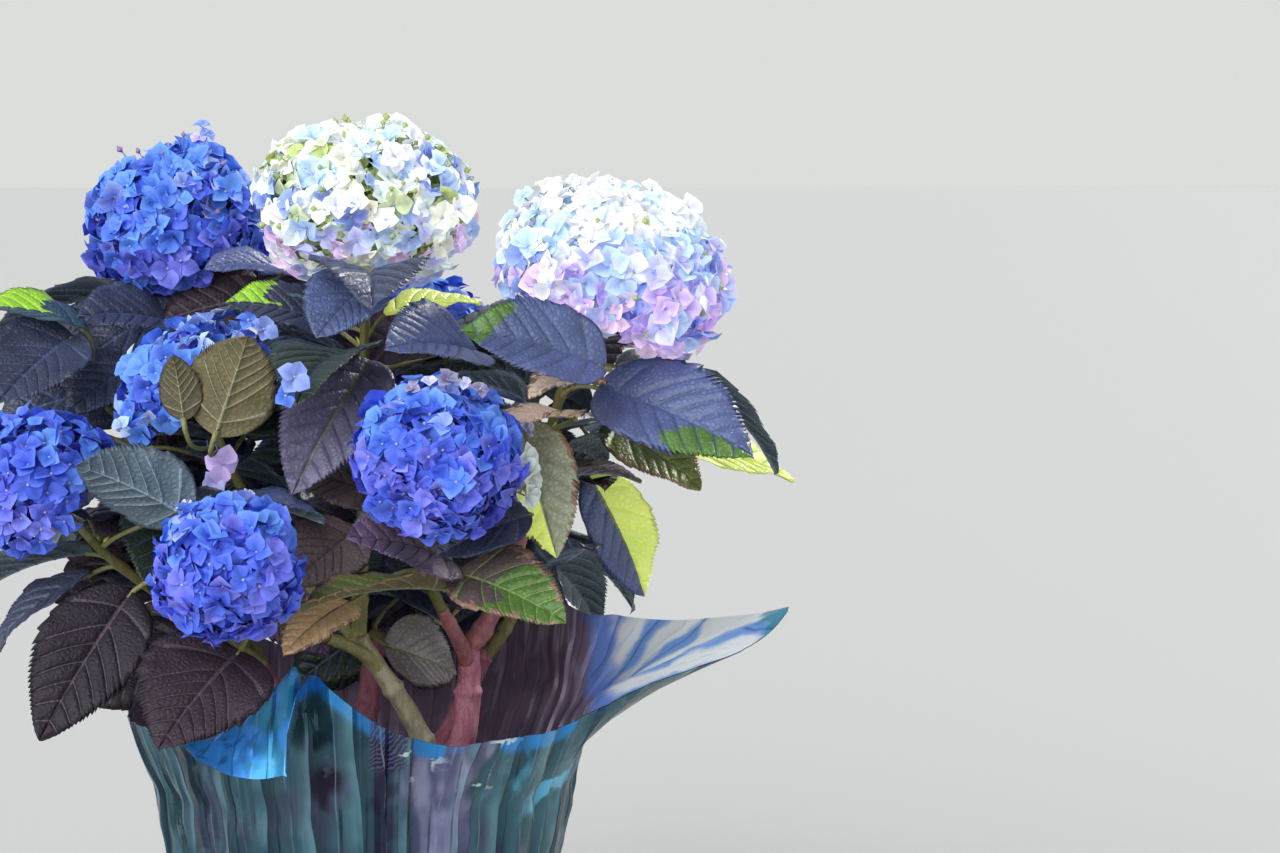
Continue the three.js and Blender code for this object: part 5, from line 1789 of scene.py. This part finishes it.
POT_RIM_RADIUS = 103
POT_BASE_RADIUS = 74
POT_WALL = 2.4
POT_SLOPE = (POT_RIM_RADIUS - POT_BASE_RADIUS) / POT_HEIGHT
POT_LIP_DEPTH = 16
POT_LIP_OUT = 3
POT_LIP_ROUND = 1.5
POT_SIDES = 96


def pot_piece():
    """The nursery pot: a profile with a small foot, a tapered wall and a rolled lip, turned."""
    batch = Batch()
    shader = Shader("pot_plastic")
    grain = shader.noise(700, 2)
    base = shader.mix("26332a", "38463a", shader.noise(20, 3))
    skin = shader.finish(base, grain * 0.2 + 0.35, grain, 0.0002)
    foot = FOIL_THICKNESS + GAP
    top = foot + POT_HEIGHT
    lip = POT_RIM_RADIUS - POT_SLOPE * POT_LIP_DEPTH
    curl = np.radians(np.arange(0, 181, 20))
    lip_width = 0.5 * (POT_WALL + POT_LIP_OUT)
    rolled = np.stack(
        [
            POT_RIM_RADIUS + POT_LIP_OUT - lip_width + lip_width * np.cos(curl),
            top - POT_LIP_ROUND + POT_LIP_ROUND * np.sin(curl),
        ],
        -1,
    )
    profile = [
        (0, foot + 2),
        (POT_BASE_RADIUS - 6, foot + 2),
        (POT_BASE_RADIUS - 5, foot),
        (POT_BASE_RADIUS, foot),
        (POT_BASE_RADIUS + 0.5, foot + 1),
        (lip, top - POT_LIP_DEPTH),
        (lip + POT_LIP_OUT, top - POT_LIP_DEPTH + 1),
        *rolled,
        (POT_BASE_RADIUS - POT_WALL, foot + POT_WALL + 0.2),
        (0, foot + POT_WALL + 0.2),
    ]
    batch.add(*lathe(profile, POT_SIDES), skin)
    batch.piece("nursery_pot", ["pot"])


# The potting mix: how far in from the rim it begins to fall and by how much, and its lumps and chips
SOIL_SHOULDER = 26
SOIL_SLOPE = 6
SOIL_LOW = 1.2
SOIL_RINGS = 40
SOIL_SIDES = 120
SOIL_LUMPS = 1.6
CHIPS = 420
CHIP_HEIGHT = -0.8


def soil_piece():
    """The potting mix: a profile that falls smoothly to its rim, turned, with noise added to the height
    of its top, and chips of bark strewn over it."""
    batch = Batch()
    shader = Shader("potting_mix")
    lumps = shader.noise(160, 6)
    base = shader.mix("1d1511", "4a3628", lumps.step(0.35, 0.7))
    skin = shader.finish(base, lumps * 0.2 + 0.75, lumps, 0.003)
    chip_skin = bark_material("bark_chips", "5a3d29", "7d5a3c", 200)
    base_height = FOIL_THICKNESS + GAP + POT_WALL + 4 * GAP
    foot = POT_BASE_RADIUS - POT_WALL - 2 * GAP
    rim = foot + POT_SLOPE * SOIL_TOP

    def surface(radius):
        return SOIL_TOP - SOIL_SLOPE * smooth(radius, rim - SOIL_SHOULDER, rim)

    across = np.linspace(1, 0, SOIL_RINGS)[:-1] * rim
    top = np.stack([across, surface(across) - SOIL_LOW], -1)
    profile = [(0, base_height), (foot, base_height), *top, (0, SOIL_TOP - SOIL_LOW)]
    points, faces = lathe(profile, SOIL_SIDES)
    raised = smooth(points[:, 2], SOIL_TOP - 20, SOIL_TOP - 10)
    points[:, 2] += raised * SOIL_LUMPS * (ripple(points, 0.35, 31) + 0.7 * ripple(points, 0.9, 41))
    batch.add(points, faces, skin)
    i = np.arange(CHIPS)
    radius = (rim - 6) * np.sqrt(chance(i * 1.7 + 3))
    where = heading(360 * chance(i * 2.3), 0) * radius[:, None]
    where[:, 2] = surface(radius) + CHIP_HEIGHT
    lean = np.stack([spread(i + 0.1), spread(i + 0.2), 1.6 + 0 * i], -1)
    size = np.stack([3.5 + 4 * chance(i + 0.3), 1.6 + 2 * chance(i + 0.4), 0.7 + chance(i + 0.5)], -1)
    matrices = frames_round(lean) @ turns(6.3 * chance(i + 0.6), 2) * size[:, None]
    batch.add(*copies(BEAD, matrices, where), chip_skin)
    batch.piece("potting_mix_top", ["potting_mix"])


# The camera's place and the floor's reach, in metres, with the lens and the frame in millimetres
CAMERA_PLACE = (0.157, -1.703, 0.523)
CAMERA_PITCH = 85
LENS = 85
FRAME_WIDTH = 36
FLOOR_REACH = 60.0
SKY_STRENGTH = 0.9
# Distant lights: azimuth round the plant, how far down from overhead, strength, width and colour
SUNS = {
    "key": (48, 52, 2.6, 9, (1.0, 0.97, 0.9)),
    "fill": (-122, 60, 2.9, 60, (0.9, 0.94, 1.0)),
}


def sun(name, azimuth, fall, strength, width, colour):
    """A distant light, soft by the width of its disc in degrees."""
    light = bpy.data.lights.new(name, "SUN")
    light.energy = strength
    light.angle = np.radians(width)
    light.color = colour
    placed(name, light).rotation_euler = (np.radians(fall), 0, np.radians(azimuth + 90))


def stage():
    """A plain pale floor, soft studio light, and the camera at the photograph's viewing angle."""
    floor_mesh = bpy.data.meshes.new("floor")
    corners = [(x * FLOOR_REACH, y * FLOOR_REACH, 0) for x, y in ((-1, -1), (1, -1), (1, 1), (-1, 1))]
    floor_mesh.from_pydata(corners, [], [(0, 1, 2, 3)])
    floor_mesh.materials.append(Shader("pale_floor").finish(tone("bfbeba"), 0.8))
    floor = placed("floor", floor_mesh)
    room = Shader("studio", bpy.data.worlds)
    way = room.node("ShaderNodeTexCoord", output="Generated")
    height = room.node("ShaderNodeSeparateXYZ", {0: way}, output="Z")
    colour = room.mix("e6e8e5", "77849c", height.step(0.05, 0.9))
    background = room.node("ShaderNodeBackground", {"Color": colour, "Strength": SKY_STRENGTH})
    room.node("ShaderNodeOutputWorld", {"Surface": background})
    bpy.context.scene.world = room.material
    for name, light in SUNS.items():
        sun(name, *light)
    camera = bpy.data.cameras.new("camera")
    camera.lens = LENS
    camera.sensor_width = FRAME_WIDTH
    thing = placed("camera", camera)
    thing.location = CAMERA_PLACE
    thing.rotation_euler = (np.radians(CAMERA_PITCH), 0, 0)
    bpy.context.scene.camera = thing
    bpy.context.scene.view_settings.view_transform = "Standard"


stems_piece()
boughs_piece()
leaf_pieces()
flower_pieces()
foil_piece()
pot_piece()
soil_piece()
stage()

bpy.context.view_layer.update()
